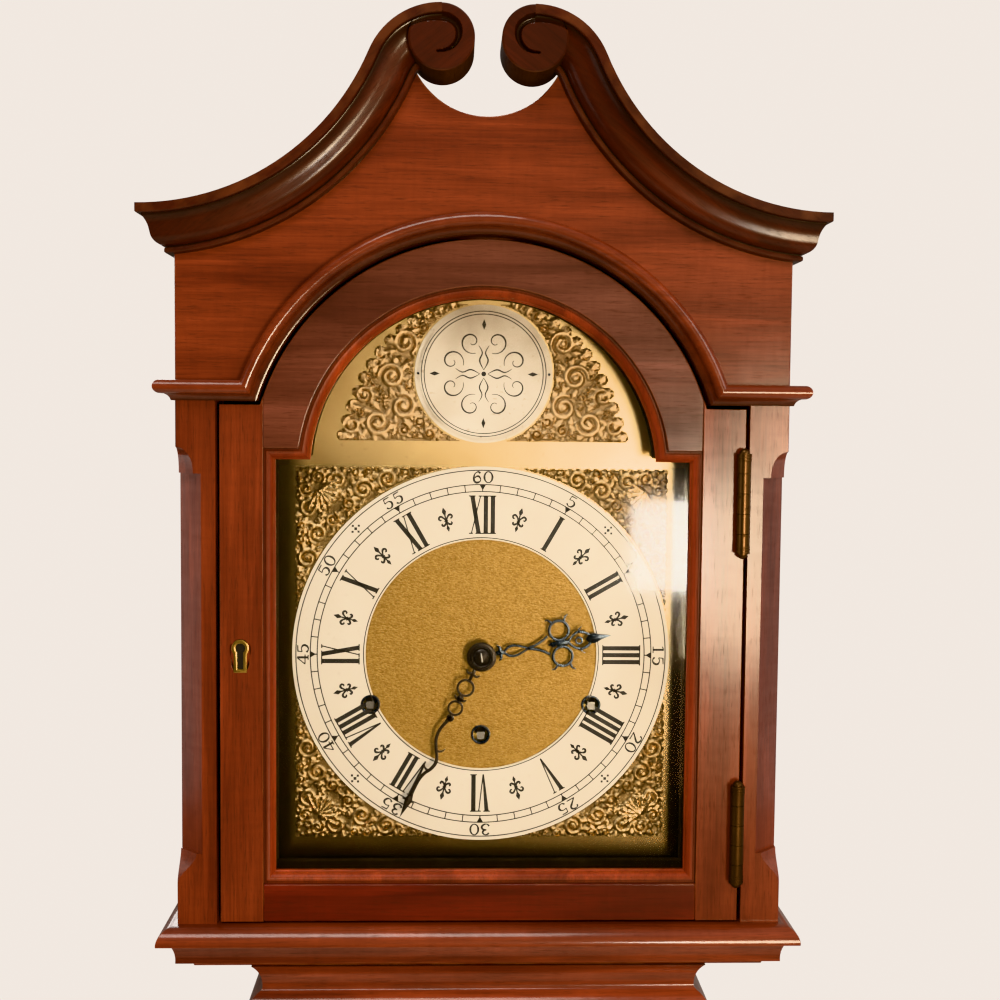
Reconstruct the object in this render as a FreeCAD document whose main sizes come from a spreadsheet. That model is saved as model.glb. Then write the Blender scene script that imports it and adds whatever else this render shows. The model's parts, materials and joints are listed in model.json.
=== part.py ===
import FreeCAD, Part
import Sketcher
import math
import os
import re

# Longcase clock with a break-arch hood. Millimetres, +Z up, the front faces -Y,
# the origin is on the floor under the middle of the case.

Vector = FreeCAD.Vector
Rotation = FreeCAD.Rotation
FRONT_AXIS = Rotation(Vector(1, 0, 0), -90)
ACROSS_AXIS = Rotation(Vector(0, 1, 0), 90)
LEFT_PROFILE = Rotation(Vector(-1, 0, 0), Vector(0, 0, 1), Vector(0, 1, 0), "XYZ")
FRONT_PROFILE = Rotation(Vector(0, -1, 0), Vector(0, 0, 1), Vector(-1, 0, 0), "XYZ")

SIZES = [
    ("hood_width", 364, "hood body, outside"),
    ("hood_depth", 215, "hood front to the back of the case"),
    ("back_thickness", 12, "backboard"),
    ("back_slip", 2, "backboard's edges to the hood's sides"),
    ("trunk_width", 262, "trunk, outside"),
    ("trunk_thickness", 14, "trunk side boards"),
    ("trunk_height", 838, "base top to hood seat"),
    ("trunk_setback", 14, "trunk front behind hood front"),
    ("trunk_lap", 60, "trunk sides down inside the base"),
    ("frame_thickness", 18, "trunk front frame"),
    ("base_projection", 22, "base proud of the trunk, at its sides and front"),
    ("base_height", 380, "floor to base top"),
    ("base_thickness", 12, "base boards"),
    ("floor_level", 40, "top of the base's bottom board"),
    ("board_foot", 15, "case boards' lower edge above the floor"),
    ("plinth_height", 92, "plinth"),
    ("plinth_projection", 9, "plinth proud of the base"),
    ("plinth_cove", 12, "moulded top of the plinth"),
    ("plinth_edge", 1.5, "top fillet of the plinth"),
    ("waist_height", 42, "moulding between base and trunk"),
    ("waist_lip", 5, "fillets of the waist moulding"),
    ("waist_overhang", 4, "waist moulding proud of the base"),
    ("waist_hollow", 32, "radius of its hollow"),
    ("throat_height", 46, "moulding under the hood"),
    ("throat_flare", 8, "throat's upper edge out from the trunk"),
    ("throat_neck", 2, "throat's neck out from the trunk"),
    ("throat_hollow", 16, "height of the upper hollow"),
    ("throat_hollow_radius", 20, "radius of the upper hollow"),
    ("throat_lip", 1.5, "fillet under the upper hollow"),
    ("throat_swell", 15, "height of the rounded swell"),
    ("throat_swell_radius", 16, "radius of the rounded swell"),
    ("throat_fillet", 4, "fillet under the swell"),
    ("throat_bead", 12, "throat's lower bead out from the trunk"),
    ("seat_thickness", 5, "board that the hood slides on"),
    ("seat_inset", 7.8, "seat board in from the hood's faces"),
    ("trunk_door_width", 176, "trunk door"),
    ("trunk_door_height", 610, "trunk door"),
    ("trunk_door_sill", 92, "trunk door's foot above the base"),
    ("trunk_door_thickness", 16, "trunk door"),
    ("trunk_door_gap", 2.4, "gap round the trunk door"),
    ("trunk_panel_border", 26, "flat border round the raised field"),
    ("trunk_panel_rise", 3, "raised field, proud of the border"),
    ("hood_base_height", 24, "hood base moulding"),
    ("hood_base_depth", 30, "hood base moulding, inwards"),
    ("hood_base_nose", 11.3, "nosing out from the hood's face"),
    ("hood_base_neck", 1.4, "foot of the hollow out from the hood's face"),
    ("hood_base_cove", 5, "head of the hollow out from the hood's face"),
    ("hood_base_cove_height", 13.5, "hollow under the nosing"),
    ("hood_base_lip", 1.5, "flat edge of the nosing"),
    ("hood_base_top", 2, "top edge out from the hood's face"),
    ("hood_base_hollow", 20, "radius of the hollow"),
    ("hood_base_round", 10, "radius of the rounded top"),
    ("side_thickness", 12, "hood sides"),
    ("post_width", 23.5, "hood corner posts"),
    ("post_depth", 30, "hood corner posts"),
    ("post_height", 314.2, "hood corner posts"),
    ("post_chamfer", 15, "chamfer on the posts' outer corners"),
    ("chamfer_foot", 43, "plain foot under the chamfer"),
    ("chamfer_head", 41, "plain head over the chamfer"),
    ("tympanum_thickness", 14, "board over the door"),
    ("tympanum_height", 111.8, "posts' heads to the cornice top"),
    ("arch_rise", 272.5, "arch centre above the hood floor"),
    ("shelf_height", 12, "moulding over the door"),
    ("shelf_projection", 11, "moulding over the door"),
    ("shelf_foot", 2, "lower fillet of that moulding"),
    ("shelf_cove", 4, "hollow under its nose"),
    ("shelf_hollow", 5, "radius of that hollow"),
    ("shelf_nose", 3.2, "depth of the rounded nose"),
    ("cornice_height", 28, "swan neck moulding, square to its run"),
    ("cornice_projection", 18.5, "swan neck moulding"),
    ("cornice_lip", 5.5, "outer fillet"),
    ("cornice_quirk", 3.5, "step in under the fillet"),
    ("cornice_bead", 4, "lower bead"),
    ("cornice_edge", 1, "step under the lower bead"),
    ("cornice_round", 14, "radius of the broad round"),
    ("swan_radius", 144, "hollow sweep of the swan neck"),
    ("swan_turn", 66.9, "degrees that it turns"),
    ("shoulder_radius", 45, "shoulder that rolls into the scroll"),
    ("scroll_radius", 19, "scroll"),
    ("scroll_depth", 36, "scroll, front to back"),
    ("swan_backing", 2, "tympanum's edge inside the swan neck's"),
    ("crescent_radius", 47.2, "hollow between the scrolls"),
    ("crescent_rise", 214.6, "centre of that hollow above the posts' heads"),
    ("roof_thickness", 12, "hood roof board"),
    ("roof_drop", 2, "roof below the cornice top"),
    ("back_drop", 8, "backboard's head below the roof"),
    ("mask_thickness", 4.5, "board framing the dial"),
    ("mask_lap", 1.4, "mask aperture outside the sight"),
    ("door_gap", 2.4, "hood door to posts"),
    ("door_foot_gap", 1.3, "hood door over the hood floor"),
    ("door_head_gap", 2.2, "hood door under the shelf moulding"),
    ("door_thickness", 20, "hood door"),
    ("door_stile", 25.4, "hood door stiles"),
    ("door_rail", 22.8, "hood door bottom rail"),
    ("door_arch_radius", 138, "hood door head"),
    ("arch_gap", 2.6, "hood door head to the arch"),
    ("door_shoulder", 14, "door shoulder above the arch centre"),
    ("glazing_radius", 110.3, "glazing opening in the door head"),
    ("bead_width", 6.6, "glazing bead"),
    ("bead_depth", 7.5, "glazing bead"),
    ("bead_inset", 1.5, "glazing bead behind the door face"),
    ("glass_thickness", 3, "door glass"),
    ("hinge_radius", 4.2, "hinge knuckles"),
    ("hinge_length", 60, "hinge knuckles"),
    ("hinge_knuckles", 5, "knuckles on a hinge"),
    ("hinge_pin_radius", 1.6, "hinge pin"),
    ("hinge_play", 0.05, "pin in the door's knuckles"),
    ("hinge_face_gap", 0.4, "knuckles to the door face"),
    ("hinge_offset", 3, "hinge axis in from the gap"),
    ("hinge_end_gap", 0.3, "between knuckles"),
    ("finial_radius", 3, "balls on the pin's ends"),
    ("leaf_thickness", 1, "hinge leaves"),
    ("leaf_depth", 15, "hinge leaves"),
    ("door_hinge_low", 54.7, "lower hinge above the door foot"),
    ("door_hinge_high", 254.7, "upper hinge above the door foot"),
    ("trunk_hinge_inset", 90, "trunk hinges from the door's ends"),
    ("keyhole_inset", 12, "keyhole in from the door's edge"),
    ("keyhole_height", 161.5, "hood keyhole above the door foot"),
    ("keyhole_radius", 2.6, "round of the keyhole"),
    ("keyhole_slot", 2.4, "width of the keyhole's slot"),
    ("escutcheon_width", 10.6, "keyhole plate"),
    ("escutcheon_height", 20, "keyhole plate"),
    ("escutcheon_thickness", 2, "keyhole plate"),
    ("escutcheon_proud", 0.4, "keyhole plate proud of the door"),
    ("bolt_travel", 7, "lock bolt"),
    ("bolt_thickness", 5, "lock bolt"),
    ("bolt_height", 16, "lock bolt"),
    ("bolt_length", 9, "lock bolt"),
    ("bolt_depth", 11, "lock bolt behind the door face"),
    ("bolt_inset", 0.2, "lock bolt inside the door's edge"),
    ("keyhole_depth", 8, "keyhole in the wood"),
    ("bolt_play", 0.1, "lock bolt in its mortise"),
    ("dial_rise", 158, "hands' axis above the hood floor"),
    ("dial_depth", 36, "dial behind the hood front"),
    ("dial_width", 256, "dial plate"),
    ("dial_foot", 131, "dial plate below the hands' axis"),
    ("dial_arch_radius", 114.5, "dial plate's arch"),
    ("dial_shoulder", 15.5, "dial shoulders above the arch centre"),
    ("dial_thickness", 2, "dial plate"),
    ("dial_post_radius", 3, "dial feet"),
    ("dial_post_length", 10.75, "dial feet"),
    ("ring_outer", 117.5, "chapter ring"),
    ("ring_inner", 72.2, "chapter ring"),
    ("ring_thickness", 1.5, "chapter ring"),
    ("boss_rise", 174.5, "arch boss above the hands' axis"),
    ("boss_radius", 42.5, "arch boss"),
    ("boss_thickness", 3, "arch boss"),
    ("boss_step", 3, "rim of the arch boss"),
    ("arch_spandrel_start", 18, "arch spandrels from the middle"),
    ("spandrel_inset", 8, "spandrels in from the dial's edges"),
    ("spandrel_gap", 3, "spandrels clear of ring and boss"),
    ("spandrel_thickness", 2.5, "spandrels"),
    ("spandrel_reach", 62, "corner spandrels along each edge"),
    ("arch_spandrel_height", 72, "arch spandrels"),
    ("centre_hole", 5.5, "dial hole for the hands' pipes"),
    ("winding_spread", 69, "side winding holes from the middle"),
    ("winding_drop", 31.7, "side winding holes below the hands' axis"),
    ("going_drop", 50.7, "middle winding hole below the hands' axis"),
    ("winding_hole", 6.2, "winding holes"),
    ("winder_radius", 3.5, "winding arbors"),
    ("winder_square", 4.8, "winding squares"),
    ("winder_reach", 3, "winding squares proud of the dial"),
    ("plate_width", 196, "movement plates"),
    ("plate_below", 92, "plates below the hands' axis"),
    ("plate_above", 78, "plates above the hands' axis"),
    ("plate_thickness", 3, "movement plates"),
    ("plate_spacing", 50, "between the plates"),
    ("pillar_radius", 5, "pillars"),
    ("pillar_inset", 11, "pillars and dial feet in from the plates' edges"),
    ("arbor_radius", 1.3, "train arbors"),
    ("pivot_play", 0.05, "arbors in the plates"),
    ("seatboard_thickness", 18, "board under the movement"),
    ("seatboard_lead", 4, "seatboard behind the dial"),
    ("seatboard_tail", 54, "seatboard behind the back plate"),
    ("rod_slot", 44, "width of the seatboard's slot"),
    ("rod_slot_depth", 16, "depth of the seatboard's slot"),
    ("great_layer", 12, "great wheels behind the front plate"),
    ("intermediate_layer", 4, "intermediate wheel behind the front plate"),
    ("drum_layer", 16, "spring barrels behind the front plate"),
    ("centre_layer", 27, "centre wheel behind the front plate"),
    ("third_layer", 35, "third wheel behind the front plate"),
    ("escape_layer", 43, "escape wheel behind the front plate"),
    ("wheel_thickness", 2, "train wheels"),
    ("pinion_length", 4, "train pinions"),
    ("barrel_radius", 24, "spring barrels"),
    ("barrel_length", 25, "spring barrels"),
    ("barrel_teeth", 84, "great wheels"),
    ("intermediate_leaves", 12, "intermediate pinion"),
    ("barrel_module", 0.8, "great wheel and intermediate pinion"),
    ("intermediate_teeth", 64, "intermediate wheel"),
    ("centre_leaves", 10, "centre pinion"),
    ("intermediate_module", 0.75, "intermediate wheel and centre pinion"),
    ("centre_teeth", 80, "centre wheel"),
    ("third_leaves", 10, "third pinion"),
    ("centre_module", 0.6, "centre wheel and third pinion"),
    ("third_teeth", 72, "third wheel"),
    ("escape_leaves", 8, "escape pinion"),
    ("third_module", 0.55, "third wheel and escape pinion"),
    ("third_offset", 18, "third arbor beside the middle"),
    ("escape_teeth", 30, "escape wheel"),
    ("escape_radius", 15, "escape wheel"),
    ("anchor_rise", 24, "anchor arbor above the escape wheel"),
    ("escape_depth", 3, "depth of the escape wheel's teeth"),
    ("pallet_gap", 2.2, "pallets outside the escape wheel at rest"),
    ("pallet_angle", 58, "pallets from the line of centres"),
    ("anchor_width", 2.5, "arms of the anchor"),
    ("cannon_teeth", 30, "cannon pinion"),
    ("minute_teeth", 40, "minute wheel"),
    ("motion_module", 0.5, "cannon pinion and minute wheel"),
    ("minute_leaves", 8, "minute pinion"),
    ("hour_teeth", 72, "hour wheel"),
    ("cannon_radius", 3, "cannon pipe"),
    ("hour_pipe_radius", 4.6, "hour pipe"),
    ("stud_radius", 0.6, "minute wheel's stud"),
    ("stud_length", 9, "minute wheel's stud"),
    ("cannon_lift", 1, "cannon pinion in front of the plate"),
    ("motion_width", 2.2, "wheels under the dial"),
    ("minute_pinion_length", 5, "minute pinion"),
    ("hour_lift", 5.5, "hour wheel in front of the plate"),
    ("hour_hand_gap", 4.5, "hour hand in front of the dial"),
    ("minute_hand_gap", 8, "minute hand in front of the dial"),
    ("hand_thickness", 1.2, "hands"),
    ("minute_hand_length", 113, "minute hand"),
    ("hour_hand_length", 82, "hour hand"),
    ("minute_hand_angle", 206.4, "degrees past twelve at rest"),
    ("hour_hand_angle", 80.8, "degrees past twelve at rest"),
    ("hand_boss_radius", 8, "round of each hand"),
    ("hand_root", 3.2, "width of a hand's blade at its round"),
    ("hand_tip", 0.8, "width of a hand's blade at its tip"),
    ("minute_ring", 20, "minute hand's ring from the middle"),
    ("minute_ring_radius", 5.6, "minute hand's ring"),
    ("hour_ring", 50, "hour hand's rings from the middle"),
    ("hour_ring_spread", 8, "hour hand's rings from its line"),
    ("hour_ring_radius", 7, "hour hand's rings"),
    ("hand_ring_width", 2, "metal of the hands' rings"),
    ("collet_radius", 9, "domed collet"),
    ("collet_height", 3.5, "domed collet"),
    ("collet_face", 3.2, "radius of the collet's front"),
    ("pendulum_length", 690, "pivot to bob centre"),
    ("pendulum_gap", 13.5, "pendulum behind the back plate"),
    ("rod_radius", 2.5, "pendulum rod"),
    ("rod_drop", 9, "rod's head below its pivot"),
    ("bob_radius", 52, "pendulum bob"),
    ("bob_thickness", 28, "pendulum bob"),
    ("bob_rim", 6, "edge of the bob"),
    ("bob_face", 20, "radius of the bob's flat faces"),
    ("nut_radius", 8, "rating nut"),
    ("nut_height", 6, "rating nut"),
    ("nut_play", 0.05, "rating nut on the rod"),
    ("nut_gap", 0.3, "rating nut under the bob"),
    ("thread_tail", 20, "rod below the rating nut"),
    ("spring_width", 8, "suspension spring"),
    ("spring_thickness", 0.3, "suspension spring"),
    ("cock_height", 12, "suspension cock"),
    ("cock_width", 16, "suspension cock"),
    ("cock_rise", 6, "cock above the pivot"),
    ("cock_wall", 2, "cock behind the suspension spring"),
    ("crutch_length", 55, "crutch"),
    ("crutch_play", 0.6, "crutch fork to the rod"),
    ("crutch_width", 3, "crutch"),
    ("crutch_thickness", 2, "crutch"),
    ("crutch_gap", 2, "crutch behind the back plate"),
    ("fork_height", 8, "crutch fork"),
    ("chime_rods", 8, "chime rods"),
    ("chime_pitch", 11, "chime rods"),
    ("chime_radius", 2, "chime rods"),
    ("chime_length", 470, "longest chime rod"),
    ("chime_step", 14, "each chime rod shorter than the last"),
    ("block_height", 30, "chime block"),
    ("block_depth", 22, "chime block"),
    ("block_rise", 24, "chime block above the hands' axis"),
    ("hammer_axis_gap", 42, "hammer arbor behind the back plate"),
    ("hammer_axis_drop", 30, "hammer arbor below the hands' axis"),
    ("hammer_arm", 36, "hammer arms"),
    ("hammer_radius", 4.5, "hammer heads"),
    ("hammer_gap", 5, "hammer heads to the chime rods"),
    ("hammer_head", 16, "length of the hammer heads"),
    ("hammer_bar", 4, "hammer arms, front to back"),
    ("hammer_blade", 2, "hammer arms, across"),
    ("lug_gap", 2, "lugs beyond the outer hammers' pitch"),
    ("lug_thickness", 3, "lugs that carry the hammer arbor"),
    ("lug_half", 5, "half the height of the lugs"),
    ("overcut", 1, "cutting tools past the faces that they cut"),
    ("wall_screw_radius", 3, "wall screw holes"),
    ("wall_screw_spacing", 200, "wall screw holes"),
    ("wall_screw_rise", 160, "wall screw holes above the hands' axis"),
]

DERIVED = [
    ("hood_half", "hood_width / 2"),
    ("trunk_half", "trunk_width / 2"),
    ("base_half", "trunk_half + base_projection"),
    ("case_back", "(hood_depth + cornice_projection) / 2"),
    ("back_front", "case_back - back_thickness"),
    ("hood_front", "case_back - hood_depth"),
    ("trunk_front", "hood_front + trunk_setback"),
    ("frame_back", "trunk_front + frame_thickness"),
    ("base_front", "trunk_front - base_projection"),
    ("hood_seat", "base_height + trunk_height"),
    ("trunk_top", "hood_seat - seat_thickness"),
    ("hood_floor", "hood_seat + hood_base_height"),
    ("post_top", "hood_floor + post_height"),
    ("arch_centre", "hood_floor + arch_rise"),
    ("cornice_top", "post_top + tympanum_height"),
    ("roof_top", "cornice_top - roof_drop"),
    ("roof_foot", "roof_top - roof_thickness"),
    ("side_inner", "hood_half - side_thickness"),
    ("post_inner", "hood_half - post_width"),
    ("post_back", "hood_front + post_depth"),
    ("tympanum_back", "hood_front + tympanum_thickness"),
    ("door_half", "post_inner - door_gap"),
    ("door_foot", "hood_floor + door_foot_gap"),
    ("door_head", "post_top - door_head_gap"),
    ("door_back", "hood_front + door_thickness"),
    ("stile_inner", "door_half - door_stile"),
    ("rail_top", "door_foot + door_rail"),
    ("shoulder_level", "arch_centre + door_shoulder"),
    ("sight_radius", "glazing_radius - bead_width"),
    ("sight_half", "stile_inner - bead_width"),
    ("sight_foot", "rail_top + bead_width"),
    ("sight_shoulder", "shoulder_level - bead_width"),
    ("bead_front", "hood_front + bead_inset"),
    ("glass_front", "bead_front + bead_depth"),
    ("glass_back", "glass_front + glass_thickness"),
    ("arch_opening", "door_arch_radius + arch_gap"),
    ("arch_outer", "arch_opening + shelf_height"),
    ("spring_half", "sqrt(arch_opening ^ 2 - (post_top - arch_centre) ^ 2)"),
    ("spring_outer", "sqrt(arch_outer ^ 2 - (post_top + shelf_height - arch_centre) ^ 2)"),
    ("shelf_flat", "shelf_projection - shelf_nose"),
    ("shelf_round", "((shelf_height - shelf_cove) ^ 2 / 4 + shelf_nose ^ 2) / (2 * shelf_nose)"),
    ("swan_start", "-(hood_half + cornice_projection)"),
    ("swan_bend_x", "swan_start + swan_radius * sin(swan_turn)"),
    ("swan_bend_z", "cornice_top + swan_radius * (1 - cos(swan_turn))"),
    ("swan_end_x", "swan_bend_x + shoulder_radius * sin(swan_turn)"),
    ("swan_end_z", "swan_bend_z + shoulder_radius * (1 - cos(swan_turn))"),
    ("scroll_z", "swan_end_z - scroll_radius"),
    ("crescent_z", "post_top + crescent_rise"),
    ("hinge_x", "post_inner - door_gap / 2 - hinge_offset"),
    ("hinge_y", "hood_front - hinge_face_gap - hinge_radius"),
    ("trunk_door_half", "trunk_door_width / 2"),
    ("trunk_door_foot", "base_height + trunk_door_sill"),
    ("trunk_door_head", "trunk_door_foot + trunk_door_height"),
    ("trunk_opening", "trunk_door_half + trunk_door_gap"),
    ("trunk_hinge_x", "trunk_opening - trunk_door_gap / 2 - hinge_offset"),
    ("trunk_hinge_y", "trunk_front - hinge_face_gap - hinge_radius"),
    ("keyhole_x", "keyhole_inset - door_half"),
    ("keyhole_z", "door_foot + keyhole_height"),
    ("bolt_front", "hood_front + bolt_depth"),
    ("bolt_back", "bolt_front + bolt_thickness"),
    ("trunk_keyhole_x", "keyhole_inset - trunk_door_half"),
    ("trunk_keyhole_z", "(trunk_door_foot + trunk_door_head) / 2"),
    ("dial_centre", "hood_floor + dial_rise"),
    ("dial_front", "hood_front + dial_depth"),
    ("dial_back", "dial_front + dial_thickness"),
    ("dial_edge", "dial_width / 2"),
    ("ring_front", "dial_front - ring_thickness"),
    ("front_plate_front", "dial_back + dial_post_length"),
    ("front_plate_back", "front_plate_front + plate_thickness"),
    ("back_plate_front", "front_plate_back + plate_spacing"),
    ("back_plate_back", "back_plate_front + plate_thickness"),
    ("plate_half", "plate_width / 2"),
    ("plate_foot", "dial_centre - plate_below"),
    ("plate_head", "dial_centre + plate_above"),
    ("pillar_x", "plate_half - pillar_inset"),
    ("pillar_low", "plate_foot + pillar_inset"),
    ("pillar_high", "plate_head - pillar_inset"),
    ("seatboard_foot", "plate_foot - seatboard_thickness"),
    ("seatboard_front", "dial_back + seatboard_lead"),
    ("seatboard_back", "back_plate_back + seatboard_tail"),
    ("winding_z", "dial_centre - winding_drop"),
    ("going_z", "dial_centre - going_drop"),
    ("centre_reach", "(intermediate_teeth + centre_leaves) * intermediate_module / 2"),
    ("barrel_reach", "(barrel_teeth + intermediate_leaves) * barrel_module / 2"),
    ("intermediate_drop", "(going_drop ^ 2 + centre_reach ^ 2 - barrel_reach ^ 2) / (2 * going_drop)"),
    ("intermediate_x", "-sqrt(centre_reach ^ 2 - intermediate_drop ^ 2)"),
    ("intermediate_z", "dial_centre - intermediate_drop"),
    ("third_reach", "(centre_teeth + third_leaves) * centre_module / 2"),
    ("third_z", "dial_centre + sqrt(third_reach ^ 2 - third_offset ^ 2)"),
    ("escape_reach", "(third_teeth + escape_leaves) * third_module / 2"),
    ("escape_z", "third_z + sqrt(escape_reach ^ 2 - third_offset ^ 2)"),
    ("pivot_z", "escape_z + anchor_rise"),
    ("minute_reach", "(cannon_teeth + minute_teeth) * motion_module / 2"),
    ("minute_x", "-minute_reach * sin(45)"),
    ("minute_z", "dial_centre + minute_reach * cos(45)"),
    ("hour_module", "2 * minute_reach / (minute_leaves + hour_teeth)"),
    ("pivot_hole", "arbor_radius + pivot_play"),
    ("winder_hole", "winder_radius + pivot_play"),
    ("hour_hand_back", "dial_front - hour_hand_gap"),
    ("minute_hand_back", "dial_front - minute_hand_gap"),
    ("minute_hand_front", "minute_hand_back - hand_thickness"),
    ("pendulum_y", "back_plate_back + pendulum_gap"),
    ("rod_head", "pivot_z - rod_drop"),
    ("bob_z", "pivot_z - pendulum_length"),
    ("nut_top", "bob_z - bob_radius - nut_gap"),
    ("rod_foot", "nut_top - nut_height - thread_tail"),
    ("cock_foot", "pivot_z + cock_rise"),
    ("cock_back", "pendulum_y + spring_width / 2 + cock_wall"),
    ("block_foot", "dial_centre + block_rise"),
    ("chime_y", "back_front - block_depth / 2"),
    ("hammer_y", "back_plate_back + hammer_axis_gap"),
    ("hammer_z", "dial_centre - hammer_axis_drop"),
    ("lug_x", "(chime_rods / 2) * chime_pitch + lug_gap"),
]

doc = FreeCAD.newDocument("LongcaseClock")
sizes = doc.addObject("Spreadsheet::Sheet", "Sizes")
derived = doc.addObject("Spreadsheet::Sheet", "Derived")
work = doc.addObject("Spreadsheet::Sheet", "Work")
sheet_of = {}
pieces = {}


def bind(text):
    """Puts the sheet's name before each size named in an expression."""
    return re.sub(r"[a-z_]+", lambda m: sheet_of.get(m.group(0), "") + m.group(0), str(text))


def number(text):
    """The present value of an expression, worked out in a spare cell."""
    work.set("A1", "=" + bind(text))
    work.recompute()
    return float(work.get("A1"))


def fill_sheets():
    """Writes the driving sizes and the values worked out from them."""
    for row, (name, value, note) in enumerate(SIZES, 1):
        sizes.set(f"A{row}", note)
        sizes.set(f"B{row}", str(value))
        sizes.setAlias(f"B{row}", name)
        sheet_of[name] = "Sizes."
    for row, (name, formula) in enumerate(DERIVED, 1):
        derived.set(f"A{row}", formula)
        derived.set(f"B{row}", "=" + bind(formula))
        derived.setAlias(f"B{row}", name)
        sheet_of[name] = "Derived."
    doc.recompute()


def keep(node, obj):
    """Names an object as a piece of the clock."""
    obj.Label = node
    pieces[node] = obj
    return obj


def place(obj, x="0", y="0", z="0"):
    """Binds an object's place to the sheets."""
    for axis, text in zip("xyz", (x, y, z)):
        obj.setExpression("Placement.Base." + axis, bind(text))
    return obj


def box(x, y, z):
    """A block from its low and high expression along each axis."""
    obj = doc.addObject("Part::Box", "Block")
    for name, (low, high) in zip(("Length", "Width", "Height"), (x, y, z)):
        obj.setExpression(name, bind(f"({high}) - ({low})"))
    return place(obj, x[0], y[0], z[0])


def both(half):
    """The low and high expressions of a width centred on the middle."""
    return f"-({half})", half


def cylinder(radius, low, high, first, second, turn=FRONT_AXIS):
    """A round bar between two levels along Y, or along X or Z where it is turned so."""
    obj = doc.addObject("Part::Cylinder", "Round")
    obj.setExpression("Radius", bind(radius))
    obj.setExpression("Height", bind(f"({high}) - ({low})"))
    obj.Placement = FreeCAD.Placement(Vector(), turn)
    if turn is FRONT_AXIS:
        return place(obj, first, low, second)
    if turn is ACROSS_AXIS:
        return place(obj, low, first, second)
    return place(obj, first, second, low)


UPRIGHT = Rotation()


def fuse(*shapes):
    """One solid from several that touch."""
    obj = doc.addObject("Part::MultiFuse", "Joined")
    obj.Shapes = list(shapes)
    obj.Refine = True
    return obj


def cut(base, *tools):
    """A solid less one or more others."""
    obj = doc.addObject("Part::Cut", "Trimmed")
    obj.Base = base
    obj.Tool = tools[0] if len(tools) == 1 else fuse(*tools)
    return obj


def common(first, second):
    """What two solids share."""
    obj = doc.addObject("Part::Common", "Shared")
    obj.Base = first
    obj.Tool = second
    return obj


def mirrored(source):
    """The other hand of a piece, across the middle of the clock."""
    obj = doc.addObject("Part::Mirroring", "OtherHand")
    obj.Source = source
    obj.Normal = (1, 0, 0)
    obj.Base = (0, 0, 0)
    return obj


def group(*shapes):
    """Separate solids that share a node."""
    obj = doc.addObject("Part::Compound", "Group")
    obj.Links = list(shapes)
    return obj


def arc_between(start, end, radius):
    """The short arc between two points, counter-clockwise where its radius is positive."""
    chord = end - start
    side = Vector(-chord.y, chord.x, 0).normalize()
    height = math.sqrt(radius ** 2 - (chord.Length / 2) ** 2)
    centre = start + chord / 2 + side * math.copysign(height, radius)
    bulge = (start + chord / 2 - centre).normalize() * abs(radius)
    return Part.Arc(start, centre + bulge, end)


def draw(sketch, steps, closed=True):
    """Draws an outline whose corners, and arc radii where given, are bound to the sheets."""
    points = [Vector(number(step[0]), number(step[1]), 0) for step in steps]
    count = len(steps) if closed else len(steps) - 1
    for index in range(count):
        start = points[index]
        end = points[(index + 1) % len(points)]
        if len(steps[index]) == 3:
            sketch.addGeometry(arc_between(start, end, number(steps[index][2])))
        else:
            sketch.addGeometry(Part.LineSegment(start, end))
    ends = {}
    for index in range(count):
        # An arc that runs clockwise is stored the other way round.
        turned = len(steps[index]) == 3 and number(steps[index][2]) < 0
        ends[index] = (2, 1) if turned else (1, 2)
    for index in range(count):
        onward = (index + 1) % len(points)
        if onward in ends and (closed or onward > index):
            sketch.addConstraint(
                Sketcher.Constraint("Coincident", index, ends[index][1], onward, ends[onward][0]))
    for index, step in enumerate(steps):
        edge, end = (index, ends[index][0]) if index in ends else (index - 1, ends[index - 1][1])
        for kind, text, value in zip(("DistanceX", "DistanceY"), step, points[index]):
            rule = sketch.addConstraint(Sketcher.Constraint(kind, -1, 1, edge, end, value))
            sketch.setExpression(f"Constraints[{rule}]", bind(text))
        if len(step) == 3:
            rule = sketch.addConstraint(Sketcher.Constraint("Radius", index, abs(number(step[2]))))
            sketch.setExpression(f"Constraints[{rule}]", bind(f"abs({step[2]})"))
    return sketch


def outline(steps, turn=UPRIGHT, closed=True):
    """A free sketch of an outline, turned into its plane."""
    sketch = doc.addObject("Sketcher::SketchObject", "Outline")
    draw(sketch, steps, closed)
    sketch.Placement = FreeCAD.Placement(Vector(), turn)
    return sketch


def board(plane, steps, low, high, holes=()):
    """A flat board: an outline padded between two levels, with round holes (radius, x, y)."""
    body = doc.addObject("PartDesign::Body", "Board")
    sketch = body.newObject("Sketcher::SketchObject", "BoardOutline")
    support = [f for f in body.Origin.OriginFeatures if f.Role == plane][0]
    sketch.AttachmentSupport = [(support, "")]
    sketch.MapMode = "FlatFace"
    # The sketch of an upright front plane looks along -Y, so its levels run backwards.
    sign = "-" if plane == "XZ_Plane" else ""
    sketch.setExpression("AttachmentOffset.Base.z", bind(f"{sign}({low})"))
    draw(sketch, steps)
    for radius, x, y in holes:
        where = Vector(number(x), number(y), 0)
        ring = sketch.addGeometry(Part.Circle(where, Vector(0, 0, 1), number(radius)))
        for kind, text, value in (("DistanceX", x, where.x), ("DistanceY", y, where.y)):
            rule = sketch.addConstraint(Sketcher.Constraint(kind, -1, 1, ring, 3, value))
            sketch.setExpression(f"Constraints[{rule}]", bind(text))
        rule = sketch.addConstraint(Sketcher.Constraint("Radius", ring, number(radius)))
        sketch.setExpression(f"Constraints[{rule}]", bind(radius))
    pad = body.newObject("PartDesign::Pad", "BoardPad")
    pad.Profile = sketch
    pad.Reversed = plane == "XZ_Plane"
    pad.setExpression("Length", bind(f"({high}) - ({low})"))
    return body


def rectangle(x, y):
    """The four corners of an upright rectangle."""
    return [(x[0], y[0]), (x[1], y[0]), (x[1], y[1]), (x[0], y[1])]


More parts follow.
